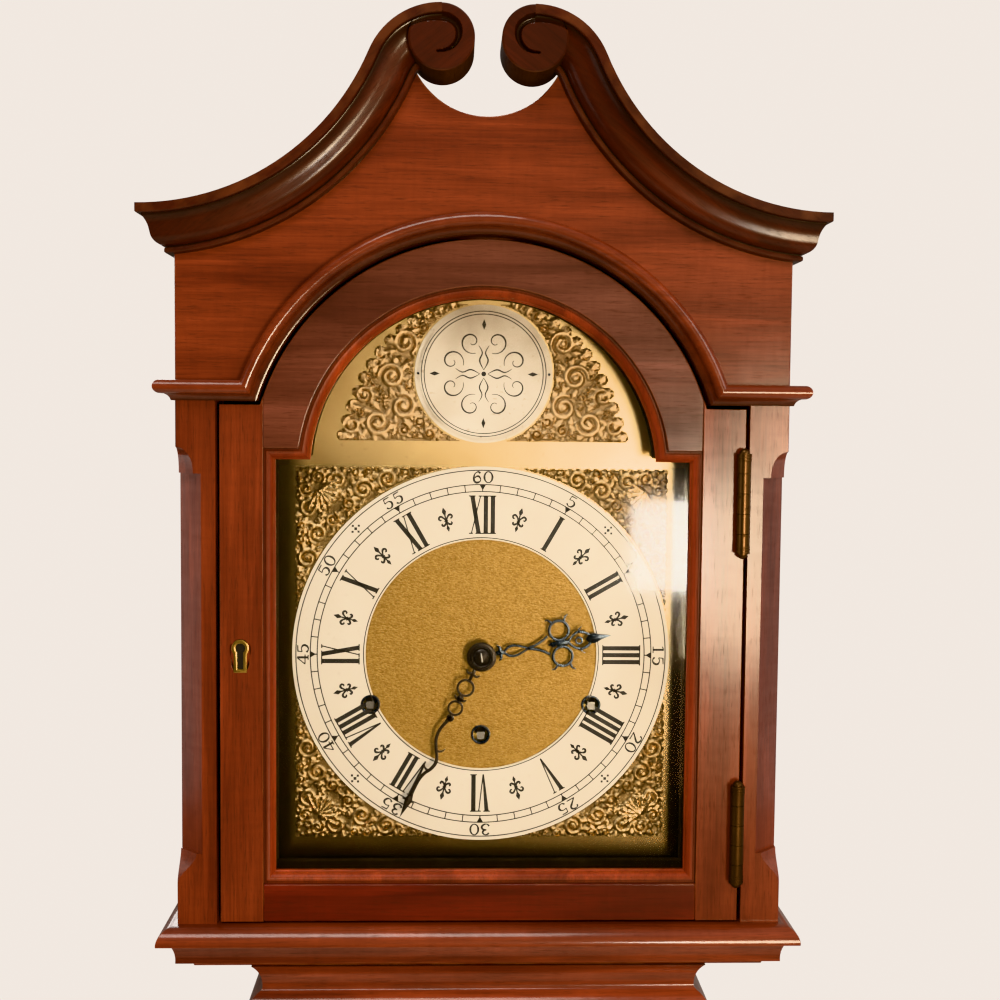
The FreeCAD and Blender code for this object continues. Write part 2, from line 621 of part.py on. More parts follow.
def moulding(profile, half, front, back, level):
    """A moulding run round the left side, the front and the right side of the case, with mitred corners."""
    route = outline([(f"-({half})", back), (f"-({half})", front), (half, front), (half, back)], closed=False)
    place(route, z=level)
    section = outline(profile, LEFT_PROFILE)
    place(section, f"-({half})", back, level)
    run = doc.addObject("Part::Sweep", "Moulding")
    run.Sections = [section]
    run.Spine = (route, ["Edge1", "Edge2", "Edge3"])
    run.Solid = True
    run.Transition = "Right corner"
    return run


def revolved(section, x, z, angle):
    """A section turned about an axis along Y, anticlockwise as the front shows it."""
    obj = doc.addObject("Part::Revolution", "Turned")
    obj.Source = section
    obj.Axis = (0, -1, 0)
    obj.setExpression("Base.x", bind(x))
    obj.setExpression("Base.z", bind(z))
    obj.setExpression("Angle", bind(angle))
    obj.Solid = True
    return obj


# The places of the arbors, across and up.
CENTRE = ("0", "dial_centre")
GOING = ("0", "going_z")
STRIKE = ("-winding_spread", "winding_z")
CHIME = ("winding_spread", "winding_z")
INTERMEDIATE = ("intermediate_x", "intermediate_z")
THIRD = ("third_offset", "third_z")
ESCAPE = ("0", "escape_z")
ANCHOR = ("0", "pivot_z")
MINUTE = ("minute_x", "minute_z")


def build_case():
    """The carcase that stands on the floor: backboard, trunk, base and the board the hood slides on."""
    base_inner = "base_half - base_thickness"
    ear = "side_inner - back_slip"
    ear_foot = "hood_floor + back_slip"
    back_head = "roof_foot - back_drop"
    right_edge = [(base_inner, "board_foot"), (base_inner, "base_height"), ("trunk_half", "base_height"),
                  ("trunk_half", ear_foot), (ear, ear_foot), (ear, back_head)]
    left_edge = [(f"-({x})", z) for x, z in reversed(right_edge)]
    screw_level = "dial_centre + wall_screw_rise"
    screws = [("wall_screw_radius", side + "wall_screw_spacing / 2", screw_level) for side in ("-", "")]
    keep("backboard", board("XZ_Plane", right_edge + left_edge, "back_front", "case_back", screws))

    side_steps = [("frame_back", "base_height - trunk_lap"), ("back_front", "base_height - trunk_lap"),
                  ("back_front", "hood_seat"), ("seatboard_back", "hood_seat"),
                  ("seatboard_back", "seatboard_foot"), ("seatboard_front", "seatboard_foot"),
                  ("seatboard_front", "hood_seat"), ("frame_back", "hood_seat")]
    side = board("YZ_Plane", side_steps, "-trunk_half", "trunk_thickness - trunk_half")
    keep("trunk_sides", group(side, mirrored(side)))

    depth = ("trunk_front", "frame_back")
    stile = box(("trunk_opening", "trunk_half"), depth, ("base_height", "trunk_top"))
    low_rail = box(both("trunk_opening"), depth, ("base_height", "trunk_door_foot - trunk_door_gap"))
    high_rail = box(both("trunk_opening"), depth, ("trunk_door_head + trunk_door_gap", "trunk_top"))
    keep("trunk_front_frame", group(stile, mirrored(stile), low_rail, high_rail))

    swell_top = "-(throat_hollow + throat_lip)"
    swell_foot = "-(throat_hollow + throat_lip + throat_swell)"
    throat = [("0", "0"), ("throat_flare", "0", "throat_hollow_radius"), ("throat_neck", "-throat_hollow"),
              ("throat_neck + throat_lip", swell_top, "-throat_swell_radius"), ("throat_bead", swell_foot),
              ("throat_bead", f"{swell_foot} - throat_fillet", "throat_bead"), ("0", "-throat_height")]
    keep("throat_moulding", moulding(throat, "trunk_half", "trunk_front", "case_back", "trunk_top"))

    seat = box(both("hood_half - seat_inset"), ("hood_front + seat_inset", "case_back"),
               ("trunk_top", "hood_seat"))
    well = box(both("trunk_half"), ("frame_back", "case_back + overcut"),
               ("trunk_top - overcut", "hood_seat + overcut"))
    keep("hood_seat_board", cut(seat, well))

    panel_height = ("board_foot", "base_height")
    panel_back = "base_front + base_thickness"
    front = box(both("base_half"), ("base_front", panel_back), panel_height)
    wall = box((base_inner, "base_half"), (panel_back, "case_back"), panel_height)
    floor = box(both(base_inner), (panel_back, "back_front"), ("floor_level - base_thickness", "floor_level"))
    keep("base_panels", group(front, wall, mirrored(wall), floor))

    waist_edge = "base_projection + waist_overhang"
    waist = [("0", "0"), (waist_edge, "0"), (waist_edge, "waist_lip", "-waist_hollow"),
             ("waist_lip", "waist_height - waist_lip"), ("waist_lip", "waist_height"), ("0", "waist_height")]
    keep("waist_moulding", moulding(waist, "trunk_half", "trunk_front", "case_back", "base_height"))

    plinth = [("0", "0"), ("plinth_projection", "0"),
              ("plinth_projection", "plinth_height - plinth_cove", "-plinth_cove"),
              ("plinth_edge", "plinth_height"), ("0", "plinth_height")]
    keep("plinth", moulding(plinth, "base_half", "base_front", "case_back", "0"))

    seatboard = box(both("trunk_half"), ("seatboard_front", "seatboard_back"),
                    ("seatboard_foot", "plate_foot"))
    slot = box(both("rod_slot / 2"), ("pendulum_y - rod_slot_depth / 2", "pendulum_y + rod_slot_depth / 2"),
               ("seatboard_foot - overcut", "plate_foot + overcut"))
    keep("seatboard", cut(seatboard, slot))


def hinge(axis_x, axis_y, middle, face, fixed_edge, moving_edge):
    """A butt hinge: the fixed leaf with its pin and finials, and the leaf that turns."""
    count = int(number("hinge_knuckles"))
    foot = f"{middle} - hinge_length / 2"
    fixed = [cylinder("hinge_pin_radius", foot, f"{foot} + hinge_length", axis_x, axis_y, UPRIGHT)]
    moving = []
    for index in range(count):
        low = f"{foot} + {index} * hinge_length / hinge_knuckles + hinge_end_gap / 2"
        high = f"{foot} + {index + 1} * hinge_length / hinge_knuckles - hinge_end_gap / 2"
        knuckle = cylinder("hinge_radius", low, high, axis_x, axis_y, UPRIGHT)
        if index % 2:
            tab = box((moving_edge, f"{moving_edge} + leaf_thickness"), (axis_y, face), (low, high))
            moving += [knuckle, tab]
        else:
            tab = box((f"{fixed_edge} - leaf_thickness", fixed_edge), (axis_y, face), (low, high))
            fixed += [knuckle, tab]
    depth = (face, f"{face} + leaf_depth")
    height = (foot, f"{foot} + hinge_length")
    fixed.append(box((f"{fixed_edge} - leaf_thickness", fixed_edge), depth, height))
    moving.append(box((moving_edge, f"{moving_edge} + leaf_thickness"), depth, height))
    for end in (foot, f"{foot} + hinge_length"):
        ball = doc.addObject("Part::Sphere", "Finial")
        ball.setExpression("Radius", bind("finial_radius"))
        fixed.append(place(ball, axis_x, axis_y, end))
    bore = cylinder("hinge_pin_radius + hinge_play", foot, f"{foot} + hinge_length", axis_x, axis_y, UPRIGHT)
    return fuse(*fixed), cut(fuse(*moving), bore)


def keyhole_plate(x, z, face):
    """A keyhole plate let into a door, and the solids that its seat and its keyhole cut from the wood."""
    def slab(front, back):
        end_gap = "(escutcheon_height - escutcheon_width) / 2"
        ends = [cylinder("escutcheon_width / 2", front, back, x, f"{z} {sign} {end_gap}") for sign in "+-"]
        middle = box((f"{x} - escutcheon_width / 2", f"{x} + escutcheon_width / 2"), (front, back),
                     (f"{z} - {end_gap}", f"{z} + {end_gap}"))
        return fuse(middle, *ends)

    def keyhole(front, back):
        centre = f"{z} + keyhole_radius"
        round_part = cylinder("keyhole_radius", front, back, x, centre)
        slot = box((f"{x} - keyhole_slot / 2", f"{x} + keyhole_slot / 2"), (front, back),
                   (f"{z} - escutcheon_height / 3", centre))
        return fuse(round_part, slot)

    front = f"{face} - escutcheon_proud"
    back = f"{front} + escutcheon_thickness"
    plate = cut(slab(front, back), keyhole(f"{front} - overcut", f"{back} + overcut"))
    return plate, fuse(slab(f"{face} - overcut", back), keyhole(back, f"{face} + keyhole_depth"))


def build_trunk_door():
    """The trunk door with its raised field, its two hinges and its keyhole plate."""
    back = "trunk_front + trunk_door_thickness"
    slab = box(both("trunk_door_half"), ("trunk_front", back), ("trunk_door_foot", "trunk_door_head"))
    field = box(both("trunk_door_half - trunk_panel_border"), ("trunk_front - trunk_panel_rise", back),
                ("trunk_door_foot + trunk_panel_border", "trunk_door_head - trunk_panel_border"))
    plate, seat = keyhole_plate("trunk_keyhole_x", "trunk_keyhole_z", "trunk_front")
    keep("trunk_door", cut(fuse(slab, field), seat))
    keep("trunk_escutcheon", plate)
    middles = ("trunk_door_foot + trunk_hinge_inset", "trunk_door_head - trunk_hinge_inset")
    pairs = [hinge("trunk_hinge_x", "trunk_hinge_y", middle, "trunk_front", "trunk_opening",
                   "trunk_door_half") for middle in middles]
    keep("trunk_hinge_leaves", group(*[fixed for fixed, moving in pairs]))
    keep("trunk_door_hinges", group(*[moving for fixed, moving in pairs]))


def build_hood():
    """The hood that slides forward off the trunk."""
    cove = ("hood_base_cove", "hood_base_cove_height")
    nose_top = "hood_base_cove_height + hood_base_lip"
    foot = [("-hood_base_depth", "0"), ("hood_base_neck", "0", "-hood_base_hollow"), cove,
            ("hood_base_nose", "hood_base_cove_height"), ("hood_base_nose", nose_top, "hood_base_round"),
            ("hood_base_top", "hood_base_height"), ("-hood_base_depth", "hood_base_height")]
    keep("hood_base_moulding", moulding(foot, "hood_half", "hood_front", "case_back", "hood_seat"))

    blank = box(("-hood_half", "-post_inner"), ("hood_front", "post_back"), ("hood_floor", "post_top"))
    edge, face = "-hood_half - overcut", "hood_front - overcut"
    corner = [(edge, face), ("post_chamfer - hood_half + overcut", face),
              (edge, "hood_front + post_chamfer + overcut")]
    chamfer = board("XY_Plane", corner, "hood_floor + chamfer_foot", "post_top - chamfer_head")
    post = cut(blank, chamfer)
    mortise = box(("-post_inner - bolt_travel - overcut", "overcut - post_inner"),
                  ("bolt_front - bolt_play", "bolt_back + bolt_play"),
                  ("keyhole_z - bolt_height / 2 - bolt_play", "keyhole_z + bolt_height / 2 + bolt_play"))
    keep("hood_posts", group(cut(post, mortise), mirrored(post)))

    side_steps = [("post_back", "hood_floor"), ("case_back", "hood_floor"), ("case_back", "roof_top"),
                  ("tympanum_back", "roof_top"), ("tympanum_back", "post_top"), ("post_back", "post_top")]
    side = board("YZ_Plane", side_steps, "side_inner", "hood_half")
    keep("hood_sides", group(side, mirrored(side)))
    keep("hood_roof", box(both("side_inner"), ("tympanum_back", "case_back"), ("roof_foot", "roof_top")))

    through = ("hood_front - overcut", "tympanum_back + overcut")
    blank = box(both("hood_half"), ("hood_front", "tympanum_back"), ("post_top", "scroll_z"))
    sweep = cylinder("swan_radius + swan_backing", *through, "swan_start", "cornice_top + swan_radius")
    crescent = cylinder("crescent_radius", *through, "0", "crescent_z")
    opening = cylinder("arch_opening", *through, "0", "arch_centre")
    keep("tympanum", cut(blank, sweep, mirrored(sweep), crescent, opening))

    shelf = [("0", "0"), ("shelf_foot", "0", "-shelf_hollow"), ("shelf_flat", "shelf_cove", "shelf_round"),
             ("shelf_flat", "shelf_height"), ("0", "shelf_height")]
    straight = moulding(shelf, "hood_half", "hood_front", "case_back", "post_top")
    arch_section = place(outline(shelf, FRONT_PROFILE), "0", "hood_front", "arch_centre + arch_opening")
    arch = revolved(arch_section, "0", "arch_centre", "360")
    shelf_top = "post_top + shelf_height"
    crown = "arch_centre + arch_outer + overcut"
    mitre = [("-spring_half", "post_top"), ("spring_half", "post_top"), ("spring_outer", shelf_top),
             ("spring_outer", crown), ("-spring_outer", crown), ("-spring_outer", shelf_top)]
    wedge = board("XZ_Plane", mitre, "hood_front - 2 * shelf_projection", "hood_front + overcut")
    keep("arch_moulding", group(cut(straight, wedge), common(arch, wedge)))

    mask_back = "post_back + mask_thickness"
    through = ("post_back - overcut", f"{mask_back} + overcut")
    aperture = fuse(
        box(both("sight_half + mask_lap"), through, ("sight_foot - mask_lap", "sight_shoulder + mask_lap")),
        cylinder("sight_radius + mask_lap", *through, "0", "arch_centre"))
    mask = box(both("side_inner"), ("post_back", mask_back), ("hood_floor", "roof_foot"))
    keep("dial_mask", cut(mask, aperture))


def build_swan_necks():
    """The two swan necks with their scrolls, and the cornice that returns along the hood's sides."""
    bead_foot = "-(cornice_height - cornice_edge)"
    bead_head = f"{bead_foot} + cornice_bead"
    profile = [("0", "0"), ("cornice_projection", "0"), ("cornice_projection", "-cornice_lip"),
               ("cornice_projection - cornice_quirk", "-(cornice_lip + cornice_quirk / 2)", "-cornice_round"),
               ("cornice_bead", bead_head), ("cornice_bead", bead_foot),
               ("0", "-cornice_height")]
    low = place(outline(profile, FRONT_PROFILE), "swan_start", "hood_front", "cornice_top")
    hollow = revolved(low, "swan_start", "cornice_top + swan_radius", "swan_turn")
    high = place(outline(profile, FRONT_PROFILE), "swan_end_x", "hood_front", "swan_end_z")
    shoulder = revolved(high, "swan_end_x", "swan_end_z - shoulder_radius", "swan_turn")
    face = "hood_front - cornice_projection"
    scroll = cylinder("scroll_radius", face, f"{face} + scroll_depth", "swan_end_x", "scroll_z")

    corner = ("-hood_half", "hood_front")
    far = ("-hood_half - 2 * cornice_projection", "hood_front - 2 * cornice_projection")
    band = ("cornice_top - 2 * cornice_height", "cornice_top + cornice_height")
    left_of_mitre = board("XY_Plane", [corner, far, (far[0], corner[1])], *band)
    right_of_mitre = board("XY_Plane", [corner, (corner[0], far[1]), far], *band)
    swan = cut(fuse(hollow, shoulder, scroll), left_of_mitre)

    start = place(outline(profile, LEFT_PROFILE), "-hood_half", "case_back", "cornice_top")
    run = doc.addObject("Part::Extrusion", "CorniceReturn")
    run.Base = start
    run.DirMode = "Custom"
    run.Dir = (0, -1, 0)
    run.setExpression("LengthFwd", bind("hood_depth + cornice_projection"))
    run.Solid = True
    side = cut(run, right_of_mitre)
    keep("swan_necks", group(swan, mirrored(swan), side, mirrored(side)))


def glazing(front, back):
    """The opening in the hood door that holds the bead and the glass."""
    return fuse(box(both("stile_inner"), (front, back), ("rail_top", "shoulder_level")),
                cylinder("glazing_radius", front, back, "0", "arch_centre"))


def build_hood_door():
    """The glazed hood door: stiles, rails, bead, glass, hinges, keyhole plate and lock bolt."""
    depth = ("hood_front", "door_back")
    crown = "arch_centre + door_arch_radius + overcut"
    blank = fuse(box(both("door_half"), depth, ("door_foot", "door_head")),
                 cylinder("door_arch_radius", *depth, "0", "arch_centre"))
    stile = common(blank, box(("-door_half - overcut", "-stile_inner"), depth, ("door_foot", crown)))
    plate, seat = keyhole_plate("keyhole_x", "keyhole_z", "hood_front")
    bolt_height = ("keyhole_z - bolt_height / 2", "keyhole_z + bolt_height / 2")
    mortise = box(("-door_half - overcut", "bolt_inset + bolt_length - door_half"),
                  ("bolt_front - bolt_play", "bolt_back + bolt_play"),
                  (f"{bolt_height[0]} - bolt_play", f"{bolt_height[1]} + bolt_play"))
    keep("door_stiles", group(cut(stile, mortise, seat), mirrored(stile)))
    keep("door_escutcheon", plate)
    keep("door_lock_bolt", box(("bolt_inset - door_half", "bolt_inset + bolt_length - door_half"),
                               ("bolt_front", "bolt_back"), bolt_height))
    keep("door_bottom_rail", box(both("stile_inner"), depth, ("door_foot", "rail_top")))
    head = common(blank, box(both("stile_inner"), depth, ("shoulder_level", crown)))
    light = cylinder("glazing_radius", "hood_front - overcut", "door_back + overcut", "0", "arch_centre")
    keep("door_arch_rail", cut(head, light))

    through = ("bead_front - overcut", "glass_front + overcut")
    sight = fuse(box(both("sight_half"), through, ("sight_foot", "sight_shoulder")),
                 cylinder("sight_radius", *through, "0", "arch_centre"))
    keep("glazing_bead", cut(glazing("bead_front", "glass_front"), sight))
    keep("door_glass", glazing("glass_front", "glass_back"))

    pairs = [hinge("hinge_x", "hinge_y", middle, "hood_front", "post_inner", "door_half")
             for middle in ("door_foot + door_hinge_low", "door_foot + door_hinge_high")]
    keep("hood_hinge_leaves", group(*[fixed for fixed, moving in pairs]))
    keep("door_hinges", group(*[moving for fixed, moving in pairs]))


def build_dial():
    """The break-arch dial: plate, chapter ring, spandrels and arch boss."""
    depth = ("dial_front", "dial_back")
    plate_top = "arch_centre + dial_shoulder"
    square = box(both("dial_edge"), depth, ("dial_centre - dial_foot", plate_top))
    arch = cylinder("dial_arch_radius", *depth, "0", "arch_centre")
    feet = [cylinder("dial_post_radius", "dial_back", "front_plate_front", x, z)
            for x in ("-pillar_x", "pillar_x") for z in ("pillar_low", "pillar_high")]

    def winding_holes():
        through = ("ring_front - overcut", "dial_back + overcut")
        return [cylinder("winding_hole", *through, *spot) for spot in (STRIKE, CHIME, GOING)]

    centre = cylinder("centre_hole", "dial_front - overcut", "dial_back + overcut", "0", "dial_centre")
    keep("dial_plate", cut(fuse(square, arch, *feet), centre, *winding_holes()))

    ring = cylinder("ring_outer", "ring_front", "dial_front", "0", "dial_centre")
    inside = cylinder("ring_inner", "ring_front - overcut", "dial_front + overcut", "0", "dial_centre")
    keep("chapter_ring", cut(ring, inside, *winding_holes()))

    relief = ("dial_front - spandrel_thickness", "dial_front")
    edge = ("dial_edge - spandrel_inset - spandrel_reach", "dial_edge - spandrel_inset")
    high_edge = f"{plate_top} - spandrel_inset"
    high = box(edge, relief, (f"{high_edge} - spandrel_reach", high_edge))
    low_edge = "dial_centre - dial_foot + spandrel_inset"
    low = box(edge, relief, (low_edge, f"{low_edge} + spandrel_reach"))
    clear = ("dial_front - spandrel_thickness - overcut", "dial_front + overcut")
    corners = [cut(corner, cylinder("ring_outer + spandrel_gap", *clear, "0", "dial_centre"))
               for corner in (high, low)]
    field = cylinder("sight_radius - spandrel_inset / 2", *relief, "0", "arch_centre")
    flank = box(("arch_spandrel_start", "dial_arch_radius"), relief,
                (f"{plate_top} + spandrel_gap", f"{plate_top} + spandrel_gap + arch_spandrel_height"))
    boss_round = cylinder("boss_radius + spandrel_gap", *clear, "0", "dial_centre + boss_rise")
    corners.append(cut(common(field, flank), boss_round))
    keep("spandrels", group(*corners, *[mirrored(corner) for corner in corners]))

    boss_z = "dial_centre + boss_rise"
    rim = cylinder("boss_radius", "dial_front - boss_thickness / 2", "dial_front", "0", boss_z)
    face = cylinder("boss_radius - boss_step", "dial_front - boss_thickness", "dial_front", "0", boss_z)
    keep("arch_boss", fuse(rim, face))


def solid(name, shape):
    """A piece whose outline is worked out tooth by tooth."""
    obj = doc.addObject("Part::Feature", name)
    obj.Shape = shape
    return obj


def extruded(points, low, high):
    """A flat outline in X and Z, between two levels along Y."""
    corners = [Vector(x, low, z) for x, z in points]
    face = Part.Face(Part.makePolygon(corners + corners[:1]))
    return face.extrude(Vector(0, high - low, 0))


def bearing(x, z, to_x, to_z):
    """The direction from one arbor to another, in radians from +X towards +Z."""
    return math.atan2(number(to_z) - number(z), number(to_x) - number(x))


# A tooth's reach past the pitch circle and its depth inside it, in modules, and half the width of
# its tip and of its root, in pitches. A wheel's teeth are tall and pointed and a pinion's leaves
# short and slim, so the two run clear of each other.
WHEEL_TOOTH = {"top": 0.8, "bottom": 1.2, "tip": 0.1, "root": 0.27}
PINION_LEAF = {"top": 0.55, "bottom": 1.35, "tip": 0.12, "root": 0.2}

# Where an escape tooth leans forward to, ends and falls back, in pitches from its foot.
ESCAPE_RAKE, ESCAPE_TIP, ESCAPE_HEEL = 0.42, 0.5, 0.7


def toothed(teeth, module, tooth, phase, low, high, x, z):
    """A toothed disc with one tooth's middle at the angle given."""
    count = int(number(teeth))
    size = number(module)
    pitch = 2 * math.pi / count
    centre_x, centre_z = number(x), number(z)
    radius = size * count / 2
    root, tip = radius - tooth["bottom"] * size, radius + tooth["top"] * size
    corners = [(root, -tooth["root"]), (tip, -tooth["tip"]), (tip, tooth["tip"]), (root, tooth["root"])]
    points = []
    for index in range(count):
        middle = phase + index * pitch
        for length, share in corners:
            angle = middle + share * pitch
            points.append((centre_x + length * math.cos(angle), centre_z + length * math.sin(angle)))
    return solid("Teeth", extruded(points, number(low), number(high)))


def mesh(wheel, pinion, module, wheel_at, pinion_at, wheel_depth, pinion_depth):
    """A wheel and the pinion that it drives, with a tooth of the wheel in a space of the pinion."""
    towards = bearing(*wheel_at, *pinion_at)
    half_space = math.pi / int(number(pinion))
    facing = towards + math.pi + half_space
    driver = toothed(wheel, module, WHEEL_TOOTH, towards, *wheel_depth, *wheel_at)
    driven = toothed(pinion, module, PINION_LEAF, facing, *pinion_depth, *pinion_at)
    return driver, driven


def layer(name, thickness):
    """The front and back of a wheel that stands so far behind the front plate."""
    return f"front_plate_back + {name}", f"front_plate_back + {name} + {thickness}"


def pinion_layer(name):
    """The front and back of a pinion that reaches a little beyond its wheel at both ends."""
    overlap = "(pinion_length - wheel_thickness) / 2"
    return f"front_plate_back + {name} - {overlap}", f"front_plate_back + {name} - {overlap} + pinion_length"


def layers(name):
    """The depths of a wheel and of the pinion that it drives."""
    return layer(name, "wheel_thickness"), pinion_layer(name)


def build_plates():
    """The two movement plates, with the pillars, the hammer lugs and the minute wheel's stud on them."""
    corners = rectangle(both("plate_half"), ("plate_foot", "plate_head"))
    holes = [("pivot_hole", *spot) for spot in (CENTRE, INTERMEDIATE, THIRD, ESCAPE, ANCHOR)]
    holes += [("winder_hole", *spot) for spot in (GOING, STRIKE, CHIME)]
    front = board("XZ_Plane", corners, "front_plate_front", "front_plate_back", holes)
    stud = cylinder("stud_radius", "front_plate_front - stud_length", "front_plate_front", *MINUTE)
    keep("front_plate", fuse(front, stud))

    back = board("XZ_Plane", corners, "back_plate_front", "back_plate_back", holes)
    pillars = [cylinder("pillar_radius", "front_plate_back", "back_plate_front", x, z)
               for x in ("-pillar_x", "pillar_x") for z in ("pillar_low", "pillar_high")]
    lug = box(("lug_x", "lug_x + lug_thickness"), ("back_plate_back", "hammer_y + lug_half"),
              ("hammer_z - lug_half", "hammer_z + lug_half"))
    bore = cylinder("pivot_hole", "-2 * lug_x", "2 * lug_x", "hammer_y", "hammer_z", ACROSS_AXIS)
    keep("back_plate", cut(fuse(back, *pillars, lug, mirrored(lug)), bore))


def arbor(spot, front="front_plate_front", back="back_plate_back"):
    """A train arbor in the holes of both plates."""
    return cylinder("arbor_radius", front, back, *spot)


def build_train():
    """The going train, the other two spring barrels and the three winding arbors."""
    great, leaves = mesh("barrel_teeth", "intermediate_leaves", "barrel_module", GOING, INTERMEDIATE,
                         *layers("great_layer"))
    wheel, centre_leaves = mesh("intermediate_teeth", "centre_leaves", "intermediate_module",
                                INTERMEDIATE, CENTRE, *layers("intermediate_layer"))
    keep("intermediate_wheel", fuse(arbor(INTERMEDIATE), wheel, leaves))
    wheel, third_leaves = mesh("centre_teeth", "third_leaves", "centre_module", CENTRE, THIRD,
                               *layers("centre_layer"))
    keep("centre_wheel", fuse(arbor(CENTRE, "minute_hand_front"), wheel, centre_leaves))
    wheel, escape_leaves = mesh("third_teeth", "escape_leaves", "third_module", THIRD, ESCAPE,
                                *layers("third_layer"))
    keep("third_wheel", fuse(arbor(THIRD), wheel, third_leaves))
    keep("escape_wheel", fuse(arbor(ESCAPE), ratchet(), escape_leaves))

    great_depth = layer("great_layer", "wheel_thickness")
    drum_back = layer("drum_layer", "barrel_length")[1]
    for name, spot in (("going", GOING), ("strike", STRIKE), ("chime", CHIME)):
        if name != "going":
            great = toothed("barrel_teeth", "barrel_module", WHEEL_TOOTH, math.pi / 2, *great_depth, *spot)
        drum = cylinder("barrel_radius", great_depth[0], drum_back, *spot)
        bore = cylinder("winder_hole", "front_plate_back", "back_plate_front", *spot)
        keep(f"{name}_barrel", cut(fuse(great, drum), bore))
        shaft = cylinder("winder_radius", "front_plate_front", "back_plate_back", *spot)
        square = box((f"{spot[0]} - winder_square / 2", f"{spot[0]} + winder_square / 2"),
                     ("dial_front - winder_reach", "front_plate_front"),
                     (f"{spot[1]} - winder_square / 2", f"{spot[1]} + winder_square / 2"))
        keep(f"{name}_winder", fuse(shaft, square))


def ratchet():
    """The escape wheel's raked teeth."""
    count = int(number("escape_teeth"))
    tip = number("escape_radius")
    root = tip - number("escape_depth")
    middle = number("escape_z")
    points = []
    for index in range(count):
        for length, share in ((root, 0), (tip, ESCAPE_RAKE), (tip, ESCAPE_TIP), (root, ESCAPE_HEEL)):
            angle = 2 * math.pi * (index + share) / count
            points.append((length * math.cos(angle), middle + length * math.sin(angle)))
    low, high = layer("escape_layer", "wheel_thickness")
    return solid("Ratchet", extruded(points, number(low), number(high)))


def build_anchor():
    """The anchor on its arbor, with the crutch and fork that push the pendulum."""
    reach = number("escape_radius + pallet_gap")
    angle = math.radians(number("pallet_angle"))
    top = number("pivot_z")
    width = number("anchor_width")
    tip_x = reach * math.sin(angle)
    tip_z = number("escape_z") + reach * math.cos(angle)
    elbow_z = top - width
    right = [(0, top + width), (tip_x, elbow_z), (tip_x + width, tip_z), (tip_x, tip_z),
             (tip_x - width / 2, elbow_z - width), (0, top - width)]
    left = [(-x, z) for x, z in reversed(right[1:-1])]
    low, high = pinion_layer("escape_layer")
    arms = solid("Anchor", extruded(right + left, number(low), number(high)))
    crutch_back = "back_plate_back + crutch_gap + crutch_thickness"
    crutch_depth = ("back_plate_back + crutch_gap", crutch_back)
    foot = "pivot_z - crutch_length"
    rod = box(both("crutch_width / 2"), crutch_depth, (foot, "pivot_z + crutch_width / 2"))
    clear = "rod_radius + crutch_play"
    bridge = box(both(f"{clear} + crutch_thickness"), crutch_depth, (foot, f"{foot} + fork_height"))
    prong = box((clear, f"{clear} + crutch_thickness"), (crutch_depth[0], f"pendulum_y + {clear}"),
                (foot, f"{foot} + fork_height"))
    spindle = arbor(ANCHOR, back=crutch_back)
    keep("anchor", fuse(spindle, arms, rod, bridge, prong, mirrored(prong)))


def build_motion():
    """The wheels under the dial that turn the hour hand once for twelve turns of the minute hand."""
    plane = ("front_plate_front - cannon_lift - motion_width", "front_plate_front - cannon_lift")
    wheel, cannon = mesh("minute_teeth", "cannon_teeth", "motion_module", MINUTE, CENTRE, plane, plane)
    pipe = cylinder("cannon_radius", "minute_hand_front", plane[1], *CENTRE)
    bore = cylinder("pivot_hole", "minute_hand_front - overcut", "front_plate_front", *CENTRE)
    keep("cannon_pinion", cut(fuse(pipe, cannon), bore))
    hour_depth = ("front_plate_front - hour_lift - motion_width", "front_plate_front - hour_lift")
    leaf_depth = (f"{plane[0]} - minute_pinion_length", plane[0])
    hour, leaves = mesh("hour_teeth", "minute_leaves", "hour_module", CENTRE, MINUTE,
                        hour_depth, leaf_depth)
    stud_hole = cylinder("stud_radius + pivot_play", f"{leaf_depth[0]} - overcut", "front_plate_front",
                         *MINUTE)
    keep("minute_wheel", cut(fuse(wheel, leaves), stud_hole))
    pipe = cylinder("hour_pipe_radius", "hour_hand_back - hand_thickness", hour_depth[1], *CENTRE)
    bore = cylinder("cannon_radius + pivot_play", "minute_hand_front", "front_plate_front", *CENTRE)
    keep("hour_wheel", cut(fuse(pipe, hour), bore))


def hand(length, angle, back, hole, rings):
    """A hand with a round, a tapering blade and pierced rings along it, turned to its rest angle."""
    high = number(back)
    low = high - number("hand_thickness")
    root = number("hand_root") / 2
    tip = number("hand_tip") / 2
    metal = number("hand_ring_width")
    reach = number(length)
    round_size = number("hand_boss_radius")

    def disc(x, z, radius):
        return Part.makeCylinder(radius, high - low, Vector(x, low, z), Vector(0, 1, 0))

    blade = extruded([(-root, 0), (root, 0), (tip, reach), (-tip, reach)], low, high)
    shape = blade.fuse(disc(0, 0, round_size))
    for x, z, radius in rings:
        shape = shape.fuse(disc(x, z, radius))
    for x, z, radius in rings:
        shape = shape.cut(disc(x, z, radius - metal))
    shape = shape.cut(disc(0, 0, number(hole))).removeSplitter()
    shape.rotate(Vector(0, 0, 0), Vector(0, 1, 0), number(angle))
    obj = solid("Hand", shape)
    return place(obj, z="dial_centre")


def build_hands():
    """The two hands and the collet that holds them on."""
    minute_rings = [(0, number("minute_ring"), number("minute_ring_radius"))]
    keep("minute_hand", hand("minute_hand_length", "minute_hand_angle", "minute_hand_back",
                             "cannon_radius + pivot_play", minute_rings))
    hour_rings = [(side * number("hour_ring_spread"), number("hour_ring"), number("hour_ring_radius"))
                  for side in (-1, 1)]
    keep("hour_hand", hand("hour_hand_length", "hour_hand_angle", "hour_hand_back",
                           "hour_pipe_radius + pivot_play", hour_rings))
    keep("hand_collet", cone("collet_radius", "collet_face", "collet_height", *CENTRE, "minute_hand_front"))


